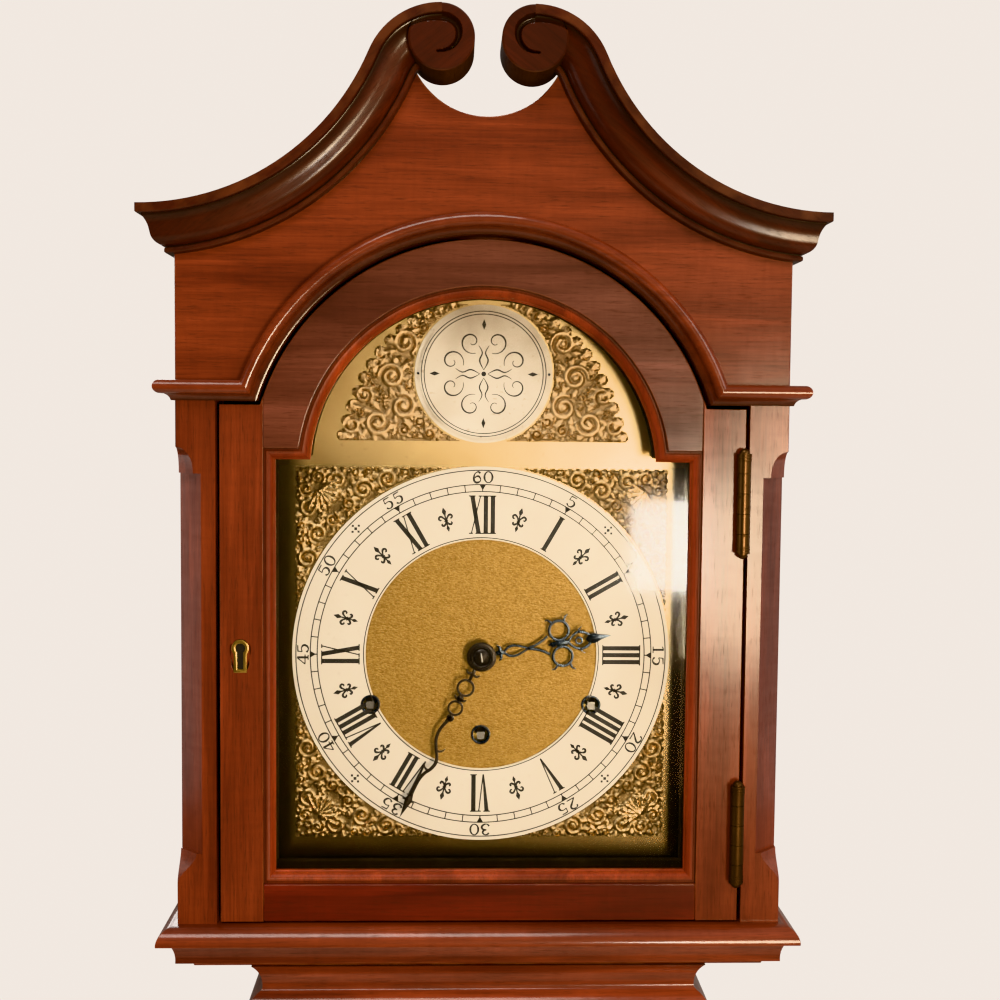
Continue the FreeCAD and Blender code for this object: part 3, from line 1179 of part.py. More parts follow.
def cone(wide, narrow, height, x, z, y, forward=True):
    """A cone that narrows towards the front, or towards the back."""
    obj = doc.addObject("Part::Cone", "Taper")
    obj.setExpression("Radius1", bind(wide))
    obj.setExpression("Radius2", bind(narrow))
    obj.setExpression("Height", bind(height))
    obj.Placement = FreeCAD.Placement(Vector(), Rotation(Vector(1, 0, 0), 90 if forward else -90))
    return place(obj, x, y, z)


def build_pendulum():
    """The pendulum: cock, spring, rod, bob and rating nut."""
    keep("suspension_cock", box(both("cock_width / 2"), ("back_plate_back", "cock_back"),
                                ("cock_foot", "cock_foot + cock_height")))
    keep("suspension_spring", box(both("spring_thickness / 2"),
                                  ("pendulum_y - spring_width / 2", "pendulum_y + spring_width / 2"),
                                  ("rod_head", "cock_foot")))
    keep("pendulum_rod", cylinder("rod_radius", "rod_foot", "rod_head", "0", "pendulum_y", UPRIGHT))
    rim = cylinder("bob_radius", "pendulum_y - bob_rim / 2", "pendulum_y + bob_rim / 2", "0", "bob_z")
    bulge = "(bob_thickness - bob_rim) / 2"
    front = cone("bob_radius", "bob_face", bulge, "0", "bob_z", "pendulum_y - bob_rim / 2")
    back = cone("bob_radius", "bob_face", bulge, "0", "bob_z", "pendulum_y + bob_rim / 2", forward=False)
    bore = cylinder("rod_radius + nut_play", "bob_z - 2 * bob_radius", "bob_z + 2 * bob_radius",
                    "0", "pendulum_y", UPRIGHT)
    keep("pendulum_bob", cut(fuse(rim, front, back), bore))
    nut = cylinder("nut_radius", "nut_top - nut_height", "nut_top", "0", "pendulum_y", UPRIGHT)
    thread = cylinder("rod_radius + nut_play", "nut_top - 2 * nut_height", "nut_top + overcut",
                      "0", "pendulum_y", UPRIGHT)
    keep("rating_nut", cut(nut, thread))


def build_chime():
    """The chime rods hung from their block, and the hammers that strike them."""
    count = int(number("chime_rods"))
    places = [f"({index} - (chime_rods - 1) / 2) * chime_pitch" for index in range(count)]
    block = box(both("lug_x"), ("back_front - block_depth", "back_front"),
                ("block_foot", "block_foot + block_height"))
    rods = [cylinder("chime_radius", f"block_foot - chime_length + {index} * chime_step", "block_foot",
                     x, "chime_y", UPRIGHT) for index, x in enumerate(places)]
    keep("chime_rods", group(block, *rods))

    head_back = "chime_y - chime_radius - hammer_gap"
    head_level = "hammer_z + hammer_arm"
    parts = [cylinder("arbor_radius", "-(lug_x + lug_thickness)", "lug_x + lug_thickness",
                      "hammer_y", "hammer_z", ACROSS_AXIS)]
    for x in places:
        width = (f"{x} - hammer_blade / 2", f"{x} + hammer_blade / 2")
        front, back = "hammer_y - hammer_bar / 2", "hammer_y + hammer_bar / 2"
        parts.append(box(width, (front, back), ("hammer_z - hammer_bar / 2", head_level)))
        parts.append(box(width, (front, f"{head_back} - hammer_head / 2"),
                         (f"{head_level} - hammer_bar / 2", f"{head_level} + hammer_bar / 2")))
        parts.append(cylinder("hammer_radius", f"{head_back} - hammer_head", head_back, x, head_level))
    keep("chime_hammers", fuse(*parts))


def export():
    """Checks every object and every piece, then writes one file for each piece."""
    doc.recompute()
    bad = [obj.Label for obj in doc.Objects if {"Invalid", "Error"} & set(obj.State)]
    for node, obj in pieces.items():
        if obj.Shape.isNull() or not obj.Shape.isValid() or not obj.Shape.Solids:
            bad.append(node)
    if bad:
        raise RuntimeError("not sound: " + ", ".join(bad))
    os.makedirs("parts", exist_ok=True)
    for node, obj in pieces.items():
        obj.Shape.exportStep(f"parts/{node}.step")


fill_sheets()
build_case()
build_trunk_door()
build_hood()
build_swan_necks()
build_hood_door()
build_dial()
build_plates()
build_train()
build_anchor()
build_motion()
build_hands()
build_pendulum()
build_chime()
export()
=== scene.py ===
"""A longcase clock, dressed: its finishes, and the finer pieces that stand for plain solids.

Sizes are in millimetres and become Blender's metres where a mesh is made. The front faces -Y.
"""

from __future__ import annotations

import json
import logging
import math
from collections.abc import Callable, Sequence
from dataclasses import dataclass, replace
from enum import Enum

import bmesh
import bpy
import numpy as np
from mathutils import Matrix, Vector

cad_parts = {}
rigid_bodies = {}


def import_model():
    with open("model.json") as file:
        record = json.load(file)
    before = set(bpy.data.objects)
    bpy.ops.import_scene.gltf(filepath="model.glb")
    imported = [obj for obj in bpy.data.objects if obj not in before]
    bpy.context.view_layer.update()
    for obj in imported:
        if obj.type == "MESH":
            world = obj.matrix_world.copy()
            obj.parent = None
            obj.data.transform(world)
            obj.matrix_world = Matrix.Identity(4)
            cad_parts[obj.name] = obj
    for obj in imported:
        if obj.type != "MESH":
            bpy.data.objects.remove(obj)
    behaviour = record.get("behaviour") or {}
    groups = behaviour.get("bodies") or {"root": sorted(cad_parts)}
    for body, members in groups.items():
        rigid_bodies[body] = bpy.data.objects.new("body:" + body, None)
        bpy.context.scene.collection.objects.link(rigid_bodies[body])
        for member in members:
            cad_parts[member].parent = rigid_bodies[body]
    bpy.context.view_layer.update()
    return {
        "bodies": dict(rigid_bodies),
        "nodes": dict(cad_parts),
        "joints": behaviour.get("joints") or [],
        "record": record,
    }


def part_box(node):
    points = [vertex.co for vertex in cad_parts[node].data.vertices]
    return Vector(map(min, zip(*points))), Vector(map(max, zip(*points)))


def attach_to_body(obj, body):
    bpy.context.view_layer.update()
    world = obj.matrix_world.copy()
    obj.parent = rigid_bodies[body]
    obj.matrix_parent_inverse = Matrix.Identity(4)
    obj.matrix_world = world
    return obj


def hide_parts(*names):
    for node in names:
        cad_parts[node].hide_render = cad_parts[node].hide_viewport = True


MM = 0.001
SHARP_ANGLE = math.radians(32)
CAST_ANGLE = math.radians(60)
RIM_ANGLE = 0.9
# The colour of the painted shade that darkens hollows in the timber.
PAINTED_SHADE_COLOUR = (0.008, 0.003, 0.0015, 1)
log = logging.getLogger("longcase_clock")

Point = tuple[float, float]
Place = tuple[float, float, float]
Colour = tuple[float, float, float, float]
Outline = Sequence[Point]
Material = bpy.types.Material
Piece = bpy.types.Object
Shape = bmesh.types.BMesh
Corner = bmesh.types.BMVert
Socket = bpy.types.NodeSocket
Tree = bpy.types.NodeTree
Value = Socket | float | Sequence[float]


class Grain(Enum):
    """The way that a board's grain runs, as the turn that brings it upright."""

    UPRIGHT = (0.0, 0.0, 0.0)
    ACROSS = (0.0, 90.0, 0.0)
    DEEP = (90.0, 0.0, 0.0)
    RISING = (0.0, 52.0, 0.0)
    FALLING = (0.0, -52.0, 0.0)


class Graph:
    """A node tree while it is being wired."""

    def __init__(self, tree: Tree) -> None:
        """Keeps the tree that the nodes go into."""
        self.tree = tree

    def join(self, value: Value, socket: Socket) -> None:
        """Links a socket to an input, or sets the input to a plain value."""
        if isinstance(value, Socket):
            self.tree.links.new(value, socket)
        else:
            socket.default_value = value

    def feed(self, node: bpy.types.Node, inputs: dict) -> bpy.types.Node:
        """Feeds values or sockets to a node's inputs, by name or number, and returns the node."""
        for name, value in inputs.items():
            self.join(value, node.inputs[name])
        return node

    def node(self, kind: str, inputs: dict | None = None, **settings: object) -> bpy.types.Node:
        """Adds a node and feeds its inputs.

        Args:
            kind: the node's type name.
            inputs: values or sockets, by input name or number.
            settings: the node's own properties.

        Returns:
            The new node.
        """
        made = self.tree.nodes.new(kind)
        for name, value in settings.items():
            setattr(made, name, value)
        return self.feed(made, inputs or {})

    def group(self, tree: Tree, inputs: dict) -> bpy.types.bpy_prop_collection:
        """Adds a shader group and returns its outputs."""
        return self.node("ShaderNodeGroup", inputs, node_tree=tree).outputs

    def bump(self, height: Socket, strength: float, distance: float) -> Socket:
        """Turns a height into a normal, and returns it."""
        inputs = {"Height": height, "Strength": strength, "Distance": distance}
        return self.node("ShaderNodeBump", inputs).outputs["Normal"]

    def blend(self, factor: Value, first: Value, second: Value) -> Socket:
        """Mixes two numbers and returns the result."""
        return self.node("ShaderNodeMix", {"Factor": factor, 2: first, 3: second}).outputs[0]

    def math(self, operation: str, *values: Value) -> Socket:
        """Adds a sum on numbers or sockets, and returns its result."""
        return self.node("ShaderNodeMath", dict(enumerate(values)), operation=operation).outputs[0]

    def spread(self, value: Value, low: float, high: float) -> Socket:
        """Stretches a band of values to the whole range, and returns it clamped."""
        made = self.node("ShaderNodeMapRange", {"Value": value, "From Min": low, "From Max": high})
        return made.outputs["Result"]

    def noise(self, vector: Value, scale: float, detail: float = 3.0, distortion: float = 0.0) -> Socket:
        """Adds a noise texture and returns its value."""
        inputs = {"Vector": vector, "Scale": scale, "Detail": detail, "Distortion": distortion}
        return self.node("ShaderNodeTexNoise", inputs).outputs["Fac"]

    def scaled(self, vector: Value, x: float, y: float, z: float) -> Socket:
        """Multiplies a vector by three factors, and returns it."""
        made = self.node("ShaderNodeVectorMath", {0: vector, 1: (x, y, z)}, operation="MULTIPLY")
        return made.outputs[0]

    def mix(self, factor: Value, first: Value, second: Value, blend: str = "MIX") -> Socket:
        """Mixes two colours.

        Args:
            factor: the second colour's share.
            first: the first colour.
            second: the second colour.
            blend: the way that they mix.

        Returns:
            The mixed colour.
        """
        made = self.node("ShaderNodeMix", data_type="RGBA", blend_type=blend)
        sockets = {"Factor_Float": factor, "A_Color": first, "B_Color": second}
        for socket in made.inputs:
            if socket.identifier in sockets:
                self.join(sockets[socket.identifier], socket)
        return next(s for s in made.outputs if s.identifier == "Result_Color")


def shader_group(name: str, inputs: dict[str, object], outputs: dict[str, str],
                 wire: Callable[[Graph, dict], dict]) -> Tree:
    """Builds a shader node group.

    Args:
        name: the group's name.
        inputs: a default by input name; a number, a colour of four or a vector of three.
        outputs: the socket type by output name.
        wire: makes the nodes from the input sockets, and returns a socket by output name.

    Returns:
        The finished group.
    """
    tree = bpy.data.node_groups.new(name, "ShaderNodeTree")
    for label, default in inputs.items():
        count = len(default) if isinstance(default, tuple) else 1
        kind = {1: "NodeSocketFloat", 3: "NodeSocketVector", 4: "NodeSocketColor"}[count]
        tree.interface.new_socket(label, in_out="INPUT", socket_type=kind).default_value = default
    for label, kind in outputs.items():
        tree.interface.new_socket(label, in_out="OUTPUT", socket_type=kind)
    graph = Graph(tree)
    source = graph.node("NodeGroupInput")
    results = wire(graph, {label: source.outputs[label] for label in inputs})
    graph.node("NodeGroupOutput", results)
    return tree


@dataclass(frozen=True)
class Figure:
    """How fine the layers of a timber's figure are, across the grain and along it, per metre."""

    bands: Point = (58.0, 4.2)
    fibres: Point = (780.0, 22.0)
    ripple: Point = (48.0, 210.0)
    pores: Point = (1500.0, 110.0)
    clouds: Point = (44.0, 5.5)
    rings: float = 17.0


def wire_grain(graph: Graph, given: dict) -> dict:
    """Timber grain along the vector's Z: growth bands, fibres, ripple, pores and clouds of colour.

    Args:
        graph: the group's graph.
        given: its input sockets by name.

    Returns:
        Its output sockets by name.
    """
    fine = Figure()

    def layer(scale: Point, detail: float, distortion: float = 0.0) -> Socket:
        """Returns noise that is drawn out along the grain."""
        across, along = scale
        return graph.noise(graph.scaled(given["Vector"], across, across, along), 1.0, detail, distortion)

    def share(value: Socket, amount: Value) -> Socket:
        """Returns a part of a value."""
        return graph.math("MULTIPLY", value, amount)

    bands = layer(fine.bands, 6.0, 0.7)
    rings = graph.spread(graph.math("SINE", share(bands, fine.rings)), -1.0, 1.0)
    fibres = layer(fine.fibres, 4.0)
    ripple = layer(fine.ripple, 3.0, 0.6)
    cloud = layer(fine.clouds, 6.0, 0.5)
    pores = share(graph.spread(layer(fine.pores, 2.0), 0.57, 0.72), given["Pores"])
    broad = graph.math("ADD", share(graph.spread(bands, 0.28, 0.72), 0.4), share(rings, given["Figure"]))
    depth = graph.math("ADD", broad, share(ripple, 0.16))
    base = graph.mix(graph.spread(depth, 0.14, 0.74), given["Pale"], given["Dark"])
    streaked = graph.mix(share(graph.spread(fibres, 0.4, 0.76), 0.5), base, given["Dark"])
    clouded = graph.mix(graph.spread(cloud, 0.35, 0.68), streaked, given["Tint"], "MULTIPLY")
    height = graph.math("SUBTRACT", share(graph.math("ADD", fibres, ripple), 0.3), pores)
    gloss = graph.math("ADD", share(graph.math("ADD", cloud, ripple), 0.1), share(pores, 0.2))
    return {"Color": graph.mix(pores, clouded, given["Pore"]), "Height": height, "Dullness": gloss}


def wire_wear_and_shade(graph: Graph, given: dict) -> dict:
    """Rubbed edges show the paler wood, broken up along their run; hollows, marked below zero, are darkened
    with painted shade.

    Args:
        graph: the group's graph.
        given: its input sockets by name.

    Returns:
        Its output sockets by name.
    """
    mark = graph.node("ShaderNodeAttribute", attribute_name="worn").outputs["Fac"]
    patches = graph.spread(graph.noise(given["Vector"], 60.0, 4.0), 0.42, 0.62)
    rubbed = graph.math("MULTIPLY", graph.spread(mark, 0.0, 1.0), patches)
    clean = graph.mix(graph.math("MULTIPLY", rubbed, given["Amount"]), given["Color"], given["Worn"])
    # Marks below zero darken the wood with painted shade.
    painted_shade = graph.math("MULTIPLY", graph.spread(mark, 0.0, -1.0), 0.9)
    return {"Color": graph.mix(painted_shade, clean, PAINTED_SHADE_COLOUR)}


def wire_tarnish(graph: Graph, given: dict) -> dict:
    """Tarnish: dull clouds and small spots over bright metal.

    Args:
        graph: the group's graph.
        given: its input sockets by name.

    Returns:
        Its output sockets by name.
    """
    clouds = graph.spread(graph.noise(given["Vector"], 22.0, 5.0, 0.6), 0.38, 0.72)
    spots = graph.spread(graph.noise(given["Vector"], 310.0, 2.0), 0.6, 0.74)
    share = graph.math("MULTIPLY", graph.math("MAXIMUM", clouds, spots), given["Amount"])
    return {"Color": graph.mix(share, given["Bright"], given["Dull"]), "Dullness": share}


class Effects:
    """The shader groups that several finishes share."""

    def __init__(self) -> None:
        """Builds each group once."""
        colour, value = "NodeSocketColor", "NodeSocketFloat"
        black = (0.0, 0.0, 0.0, 1.0)
        origin = (0.0, 0.0, 0.0)
        self.grain = shader_group(
            "timber_grain",
            {"Vector": origin, "Pale": black, "Dark": black, "Tint": black, "Pore": black,
             "Figure": 0.4, "Pores": 0.7},
            {"Color": colour, "Height": value, "Dullness": value}, wire_grain)
        # Rubbed edges, and painted shade in hollows.
        self.wear = shader_group(
            "rubbed_edge", {"Vector": origin, "Color": black, "Worn": black, "Amount": 0.8},
            {"Color": colour}, wire_wear_and_shade)
        self.tarnish = shader_group(
            "tarnish", {"Vector": origin, "Bright": black, "Dull": black, "Amount": 0.5},
            {"Color": colour, "Dullness": value}, wire_tarnish)


def blank_material(name: str) -> tuple[Material, Graph, bpy.types.Node]:
    """Starts a node material.

    Args:
        name: the material's name.

    Returns:
        The material, its graph and its Principled shader.
    """
    material = bpy.data.materials.new(name)
    material.use_nodes = True
    graph = Graph(material.node_tree)
    shader = next(n for n in material.node_tree.nodes if n.type == "BSDF_PRINCIPLED")
    return material, graph, shader


def object_space(graph: Graph, turn: Sequence[float] = (0.0, 0.0, 0.0),
                 shift: Sequence[float] = (0.0, 0.0, 0.0)) -> Socket:
    """Adds Object coordinates, turned in degrees and shifted in metres, and returns their socket."""
    coordinates = graph.node("ShaderNodeTexCoord").outputs["Object"]
    angles = tuple(math.radians(a) for a in turn)
    inputs = {"Vector": coordinates, "Rotation": angles, "Location": tuple(shift)}
    return graph.node("ShaderNodeMapping", inputs).outputs["Vector"]


@dataclass(frozen=True)
class Timber:
    """A polished timber."""

    name: str
    pale: Colour
    dark: Colour
    tint: Colour
    pore: Colour
    worn: Colour
    figure: float
    pores: float
    roughness: float
    coat: float
    coat_roughness: float
    wear: float
    sheen: float = 0.2
    relief: Point = (0.16, 0.0004)
    coat_top: float = 1.5
    coat_fall: float = 5.0
    log_step: Place = (0.37, 0.53, 0.29)

    def material(self, effects: Effects, grain: Grain, seed: int) -> Material:
        """Makes the timber for one board.

        Args:
            effects: the shared shader groups.
            grain: the way that the grain runs.
            seed: picks the part of the log that the board is cut from.

        Returns:
            The board's material.
        """
        material, graph, shader = blank_material(f"{self.name}_{grain.name.lower()}_{seed}")
        vector = object_space(graph, grain.value, [step * seed for step in self.log_step])
        figure = graph.group(effects.grain, {
            "Vector": vector, "Pale": self.pale, "Dark": self.dark, "Tint": self.tint, "Pore": self.pore,
            "Figure": self.figure, "Pores": self.pores})
        worn = graph.group(effects.wear, {"Vector": vector, "Color": figure["Color"], "Worn": self.worn,
                                          "Amount": self.wear})
        fall = graph.math("MULTIPLY", figure["Dullness"], self.coat_fall)
        polish = graph.math("SUBTRACT", self.coat_top, fall)
        graph.feed(shader, {
            "Base Color": worn["Color"],
            "Roughness": graph.math("ADD", figure["Dullness"], self.roughness),
            "Normal": graph.bump(figure["Height"], *self.relief),
            "Coat Weight": graph.math("MULTIPLY", polish, self.coat),
            "Coat Roughness": self.coat_roughness,
            "Specular IOR Level": self.sheen,
        })
        return material


@dataclass(frozen=True)
class Metal:
    """A metal with its tarnish and its surface texture."""

    name: str
    bright: Colour
    dull: Colour
    roughness: float
    amount: float = 0.5
    metallic: float = 1.0
    fineness: float = 900.0
    relief: float = 0.06
    relief_depth: float = 0.0003
    dulling: float = 0.25

    def material(self, effects: Effects) -> Material:
        """Makes the metal.

        Args:
            effects: the shared shader groups.

        Returns:
            The metal's material.
        """
        material, graph, shader = blank_material(self.name)
        vector = object_space(graph)
        tarnish = graph.group(effects.tarnish, {"Vector": vector, "Bright": self.bright, "Dull": self.dull,
                                                "Amount": self.amount})
        fine = self.fineness
        texture = graph.noise(graph.scaled(vector, fine, fine, fine), 1.0, 3.0)
        dulled = graph.math("MULTIPLY", tarnish["Dullness"], self.dulling)
        graph.feed(shader, {
            "Base Color": tarnish["Color"],
            "Roughness": graph.math("ADD", dulled, self.roughness),
            "Normal": graph.bump(texture, self.relief, self.relief_depth),
            "Metallic": self.metallic,
        })
        return material


MAHOGANY = Timber("mahogany", pale=(0.325, 0.069, 0.032, 1), dark=(0.08, 0.0155, 0.0085, 1),
                  tint=(0.44, 0.37, 0.37, 1), pore=(0.035, 0.009, 0.005, 1), worn=(0.4, 0.16, 0.08, 1),
                  figure=0.18, pores=0.42, roughness=0.34, coat=0.5, coat_roughness=0.16, wear=0.4)
MOULDED = replace(MAHOGANY, name="moulded_mahogany", coat=0.75, coat_roughness=0.14)
BEADED = replace(MAHOGANY, name="beaded_mahogany", pale=(0.46, 0.078, 0.03, 1), dark=(0.15, 0.024, 0.011, 1),
                 coat=0.22, coat_roughness=0.4, wear=0.2)
PLUM = replace(MAHOGANY, name="plum_mahogany", pale=(0.215, 0.079, 0.058, 1), dark=(0.08, 0.028, 0.02, 1),
               wear=0.12)
RUSSET = replace(MAHOGANY, name="russet_mahogany", pale=(0.19, 0.022, 0.012, 1),
                 dark=(0.06, 0.0075, 0.0042, 1), wear=0.12)
PINE = Timber("pine", pale=(0.47, 0.3, 0.155, 1), dark=(0.27, 0.15, 0.068, 1), tint=(0.8, 0.75, 0.68, 1),
              pore=(0.14, 0.07, 0.03, 1), worn=(0.5, 0.34, 0.19, 1), figure=0.42, pores=0.3, roughness=0.6,
              coat=0.0, coat_roughness=0.4, wear=0.4, sheen=0.15)
# A near-black timber for the dial mask: an ebonised finish, and painted shade for the dark gap round the
# dial.
EBONISED_AS_SHADE = Timber("ebonised_mahogany", pale=(0.02, 0.014, 0.009, 1), dark=(0.009, 0.006, 0.004, 1),
                  tint=(0.7, 0.66, 0.6, 1), pore=(0.004, 0.003, 0.002, 1), worn=(0.05, 0.03, 0.018, 1),
                  figure=0.3, pores=0.6, roughness=0.6, coat=0.0, coat_roughness=0.4, wear=0.3, sheen=0.1)
# A darker copy of the mahogany for the swan necks: painted shade.
SHADED = Timber("shaded_mahogany", pale=(0.1, 0.02, 0.0105, 1), dark=(0.024, 0.0052, 0.0032, 1),
                tint=(0.5, 0.44, 0.42, 1), pore=(0.016, 0.003, 0.0015, 1), worn=(0.21, 0.077, 0.038, 1),
                figure=0.2, pores=0.5, roughness=0.32, coat=0.42, coat_roughness=0.18, wear=0.6)
UNPOLISHED = replace(SHADED, name="unpolished_mahogany", pale=(0.085, 0.036, 0.02, 1),
                     dark=(0.04, 0.016, 0.009, 1), roughness=0.75, coat=0.0, sheen=0.04)
BRASS = Metal("brass", bright=(0.62, 0.42, 0.15, 1), dull=(0.3, 0.18, 0.06, 1), roughness=0.28, amount=0.55)
DARK_BRASS = Metal("aged_brass", bright=(0.115, 0.066, 0.036, 1), dull=(0.025, 0.014, 0.01, 1),
                   roughness=0.33, amount=0.92)
STEEL = Metal("steel", bright=(0.42, 0.41, 0.39, 1), dull=(0.16, 0.145, 0.13, 1), roughness=0.34, amount=0.65)
DARK_STEEL = replace(STEEL, name="dark_steel", bright=(0.17, 0.165, 0.155, 1), dull=(0.05, 0.046, 0.042, 1))
BLUED = Metal("blued_steel", bright=(0.036, 0.048, 0.064, 1), dull=(0.014, 0.012, 0.013, 1), roughness=0.22,
              amount=0.7, metallic=0.85)
BROWNED = replace(BLUED, name="browned_steel", bright=(0.034, 0.03, 0.028, 1), dull=(0.012, 0.01, 0.009, 1),
                  roughness=0.32)
# A brighter copy of the blued steel for the hour hand: painted sheen for the light that it catches.
BRIGHT_BLUED = replace(BLUED, name="bright_blued_steel", bright=(0.055, 0.073, 0.096, 1),
                       dull=(0.014, 0.014, 0.016, 1), metallic=1.0)
SILVERED = Metal("silvered_brass", bright=(0.61, 0.555, 0.47, 1), dull=(0.47, 0.41, 0.34, 1), roughness=0.42,
                 amount=0.5, metallic=0.2, fineness=500.0, relief=0.03)
AGED_SILVER = replace(SILVERED, name="aged_silvered_brass", dull=(0.37, 0.305, 0.235, 1), amount=0.85)
WAX = Metal("black_wax", bright=(0.004, 0.0038, 0.0035, 1), dull=(0.013, 0.011, 0.01, 1), roughness=0.55,
            amount=0.6, metallic=0.0)


@dataclass(frozen=True)
class DialPlateFinish:
    """The dial plate: satin brass, with a matted gold centre inside the chapter ring, and painted shade
    towards its sides and foot.
    """

    centre_z: float
    centre_radius: float = 74.0
    bright: Colour = (0.6, 0.44, 0.22, 1)
    dull: Colour = (0.36, 0.255, 0.13, 1)
    mat_low: Colour = (0.175, 0.109, 0.034, 1)
    mat_high: Colour = (0.3, 0.196, 0.078, 1)
    mat_roughness: float = 0.5
    # The colour of the painted shade at the plate's sides and foot.
    rim: Colour = (0.033, 0.028, 0.02, 1)
    edge_shade_share: float = 0.93
    edge_shade_sides: Point = (0.108, 0.12)
    edge_shade_foot: Point = (1.296, 1.276)
    arch: Point = (1.5, 1.54)
    satin: Point = (0.23, 0.1)

    def material(self, effects: Effects) -> Material:
        """Makes the plate's finish.

        Args:
            effects: the shared shader groups.

        Returns:
            The plate's material.
        """
        material, graph, shader = blank_material("dial_plate_brass")
        vector = object_space(graph)
        tarnish = graph.group(effects.tarnish, {"Vector": vector, "Bright": self.bright, "Dull": self.dull,
                                                "Amount": 0.5})
        across, _, up = graph.node("ShaderNodeSeparateXYZ", {"Vector": vector}).outputs
        rise = graph.math("SUBTRACT", up, self.centre_z * MM)
        square = graph.math("ADD", graph.math("POWER", across, 2.0), graph.math("POWER", rise, 2.0))
        matted = graph.math("LESS_THAN", graph.math("POWER", square, 0.5), self.centre_radius * MM)
        grains = graph.noise(graph.scaled(vector, 620.0, 620.0, 1300.0), 1.0, 3.0)
        brushed = graph.noise(graph.scaled(vector, 1600.0, 40.0, 40.0), 1.0, 2.0)
        gold = graph.mix(graph.spread(grains, 0.3, 0.72), self.mat_low, self.mat_high)
        # Painted shade darkens the plate towards its sides and its foot.
        sides = graph.spread(graph.math("ABSOLUTE", across), *self.edge_shade_sides)
        foot = graph.spread(up, *self.edge_shade_foot)
        rim = graph.math("MULTIPLY", graph.math("MAXIMUM", sides, foot), self.edge_shade_share)
        aged = graph.mix(rim, tarnish["Color"], self.rim)
        height = graph.blend(matted, graph.math("MULTIPLY", brushed, 0.08), grains)
        low, more = self.satin
        satin = graph.math("ADD", graph.math("MULTIPLY", graph.spread(up, *self.arch), more), low)
        graph.feed(shader, {
            "Base Color": graph.mix(matted, aged, gold),
            "Roughness": graph.blend(matted, satin, self.mat_roughness),
            "Normal": graph.bump(height, 0.5, 0.0006),
            "Metallic": 1.0,
        })
        return material


@dataclass(frozen=True)
class CastGilt:
    """Cast gilt ornament, bright on its crowns and dark in its hollows."""

    name: str = "cast_gilt"
    bright: Colour = (0.5, 0.355, 0.185, 1)
    dull: Colour = (0.26, 0.168, 0.08, 1)
    ground: Colour = (0.05, 0.034, 0.019, 1)
    roughness: float = 0.5
    amount: float = 0.65
    rubbed: float = 0.24

    def material(self, effects: Effects) -> Material:
        """Makes the ornament's finish.

        Args:
            effects: the shared shader groups.

        Returns:
            The ornament's material.
        """
        material, graph, shader = blank_material(self.name)
        vector = object_space(graph)
        crown = graph.node("ShaderNodeAttribute", attribute_name="crown").outputs["Fac"]
        tarnish = graph.group(effects.tarnish, {"Vector": vector, "Bright": self.bright, "Dull": self.dull,
                                                "Amount": self.amount})
        rubbed = graph.math("MULTIPLY", crown, self.rubbed)
        graph.feed(shader, {
            "Base Color": graph.mix(graph.spread(crown, 0.05, 0.6), self.ground, tarnish["Color"]),
            "Roughness": graph.math("SUBTRACT", self.roughness, rubbed),
            "Normal": graph.bump(graph.noise(vector, 900.0, 3.0), 0.4, 0.0004),
            "Metallic": 1.0,
        })
        return material


PALE_GILT = CastGilt("pale_cast_gilt", bright=(0.52, 0.37, 0.21, 1), dull=(0.3, 0.2, 0.105, 1),
                     ground=(0.19, 0.13, 0.072, 1), roughness=0.64)


@dataclass(frozen=True)
class Glazing:
    """Old window glass, faintly uneven."""

    haze: float = 0.008
    bending: float = 1.08
    coat: float = 0.4
    coat_roughness: float = 0.06

    def material(self) -> Material:
        """Makes the glass, clear to the lights' shadow rays, and returns its material."""
        material, graph, shader = blank_material("door_glass")
        vector = object_space(graph)
        smears = graph.spread(graph.noise(vector, 30.0, 4.0), 0.5, 0.9)
        graph.feed(shader, {
            "Base Color": (0.97, 0.985, 0.97, 1),
            "Roughness": graph.math("MULTIPLY", smears, self.haze),
            "Normal": graph.bump(graph.noise(vector, 14.0, 1.0), 0.03, 0.002),
            "Transmission Weight": 1.0,
            "IOR": self.bending,
            "Coat Weight": self.coat,
            "Coat Roughness": self.coat_roughness,
        })
        clear = graph.node("ShaderNodeBsdfTransparent")
        rays = graph.node("ShaderNodeLightPath")
        pick = graph.node("ShaderNodeMixShader", {0: rays.outputs["Is Shadow Ray"], 1: shader.outputs[0],
                                                  2: clear.outputs[0]})
        output = next(n for n in graph.tree.nodes if n.type == "OUTPUT_MATERIAL")
        graph.feed(output, {"Surface": pick.outputs[0]})
        return material


def finish_mesh(name: str, shape: Shape, materials: Sequence[Material],
                angle: float = SHARP_ANGLE) -> Piece:
    """Turns a bmesh into an object in the scene.

    Args:
        name: the piece's name.
        shape: the mesh, in metres; it is freed.
        materials: the piece's material slots.
        angle: edges sharper than this stay sharp.

    Returns:
        The new object.
    """
    mesh = bpy.data.meshes.new(name)
    shape.to_mesh(mesh)
    shape.free()
    mesh.polygons.foreach_set("use_smooth", [True] * len(mesh.polygons))
    mesh.set_sharp_from_angle(angle=angle)
    for material in materials:
        mesh.materials.append(material)
    piece = bpy.data.objects.new(name, mesh)
    bpy.context.scene.collection.objects.link(piece)
    return piece


def plain_copy(piece: Piece) -> Piece:
    """Keeps what a piece's modifiers make as its own mesh, and takes the modifiers off."""
    graph = bpy.context.evaluated_depsgraph_get()
    mesh = bpy.data.meshes.new_from_object(piece.evaluated_get(graph), depsgraph=graph)
    piece.modifiers.clear()
    piece.data = mesh
    return piece


def true_faces(piece: Piece) -> Piece:
    """Shades broad faces flat and lets only the narrow ones round the corners turn the light."""
    modifier = piece.modifiers.new("broad_faces", "WEIGHTED_NORMAL")
    modifier.keep_sharp = True
    modifier.weight = 80
    return plain_copy(piece)


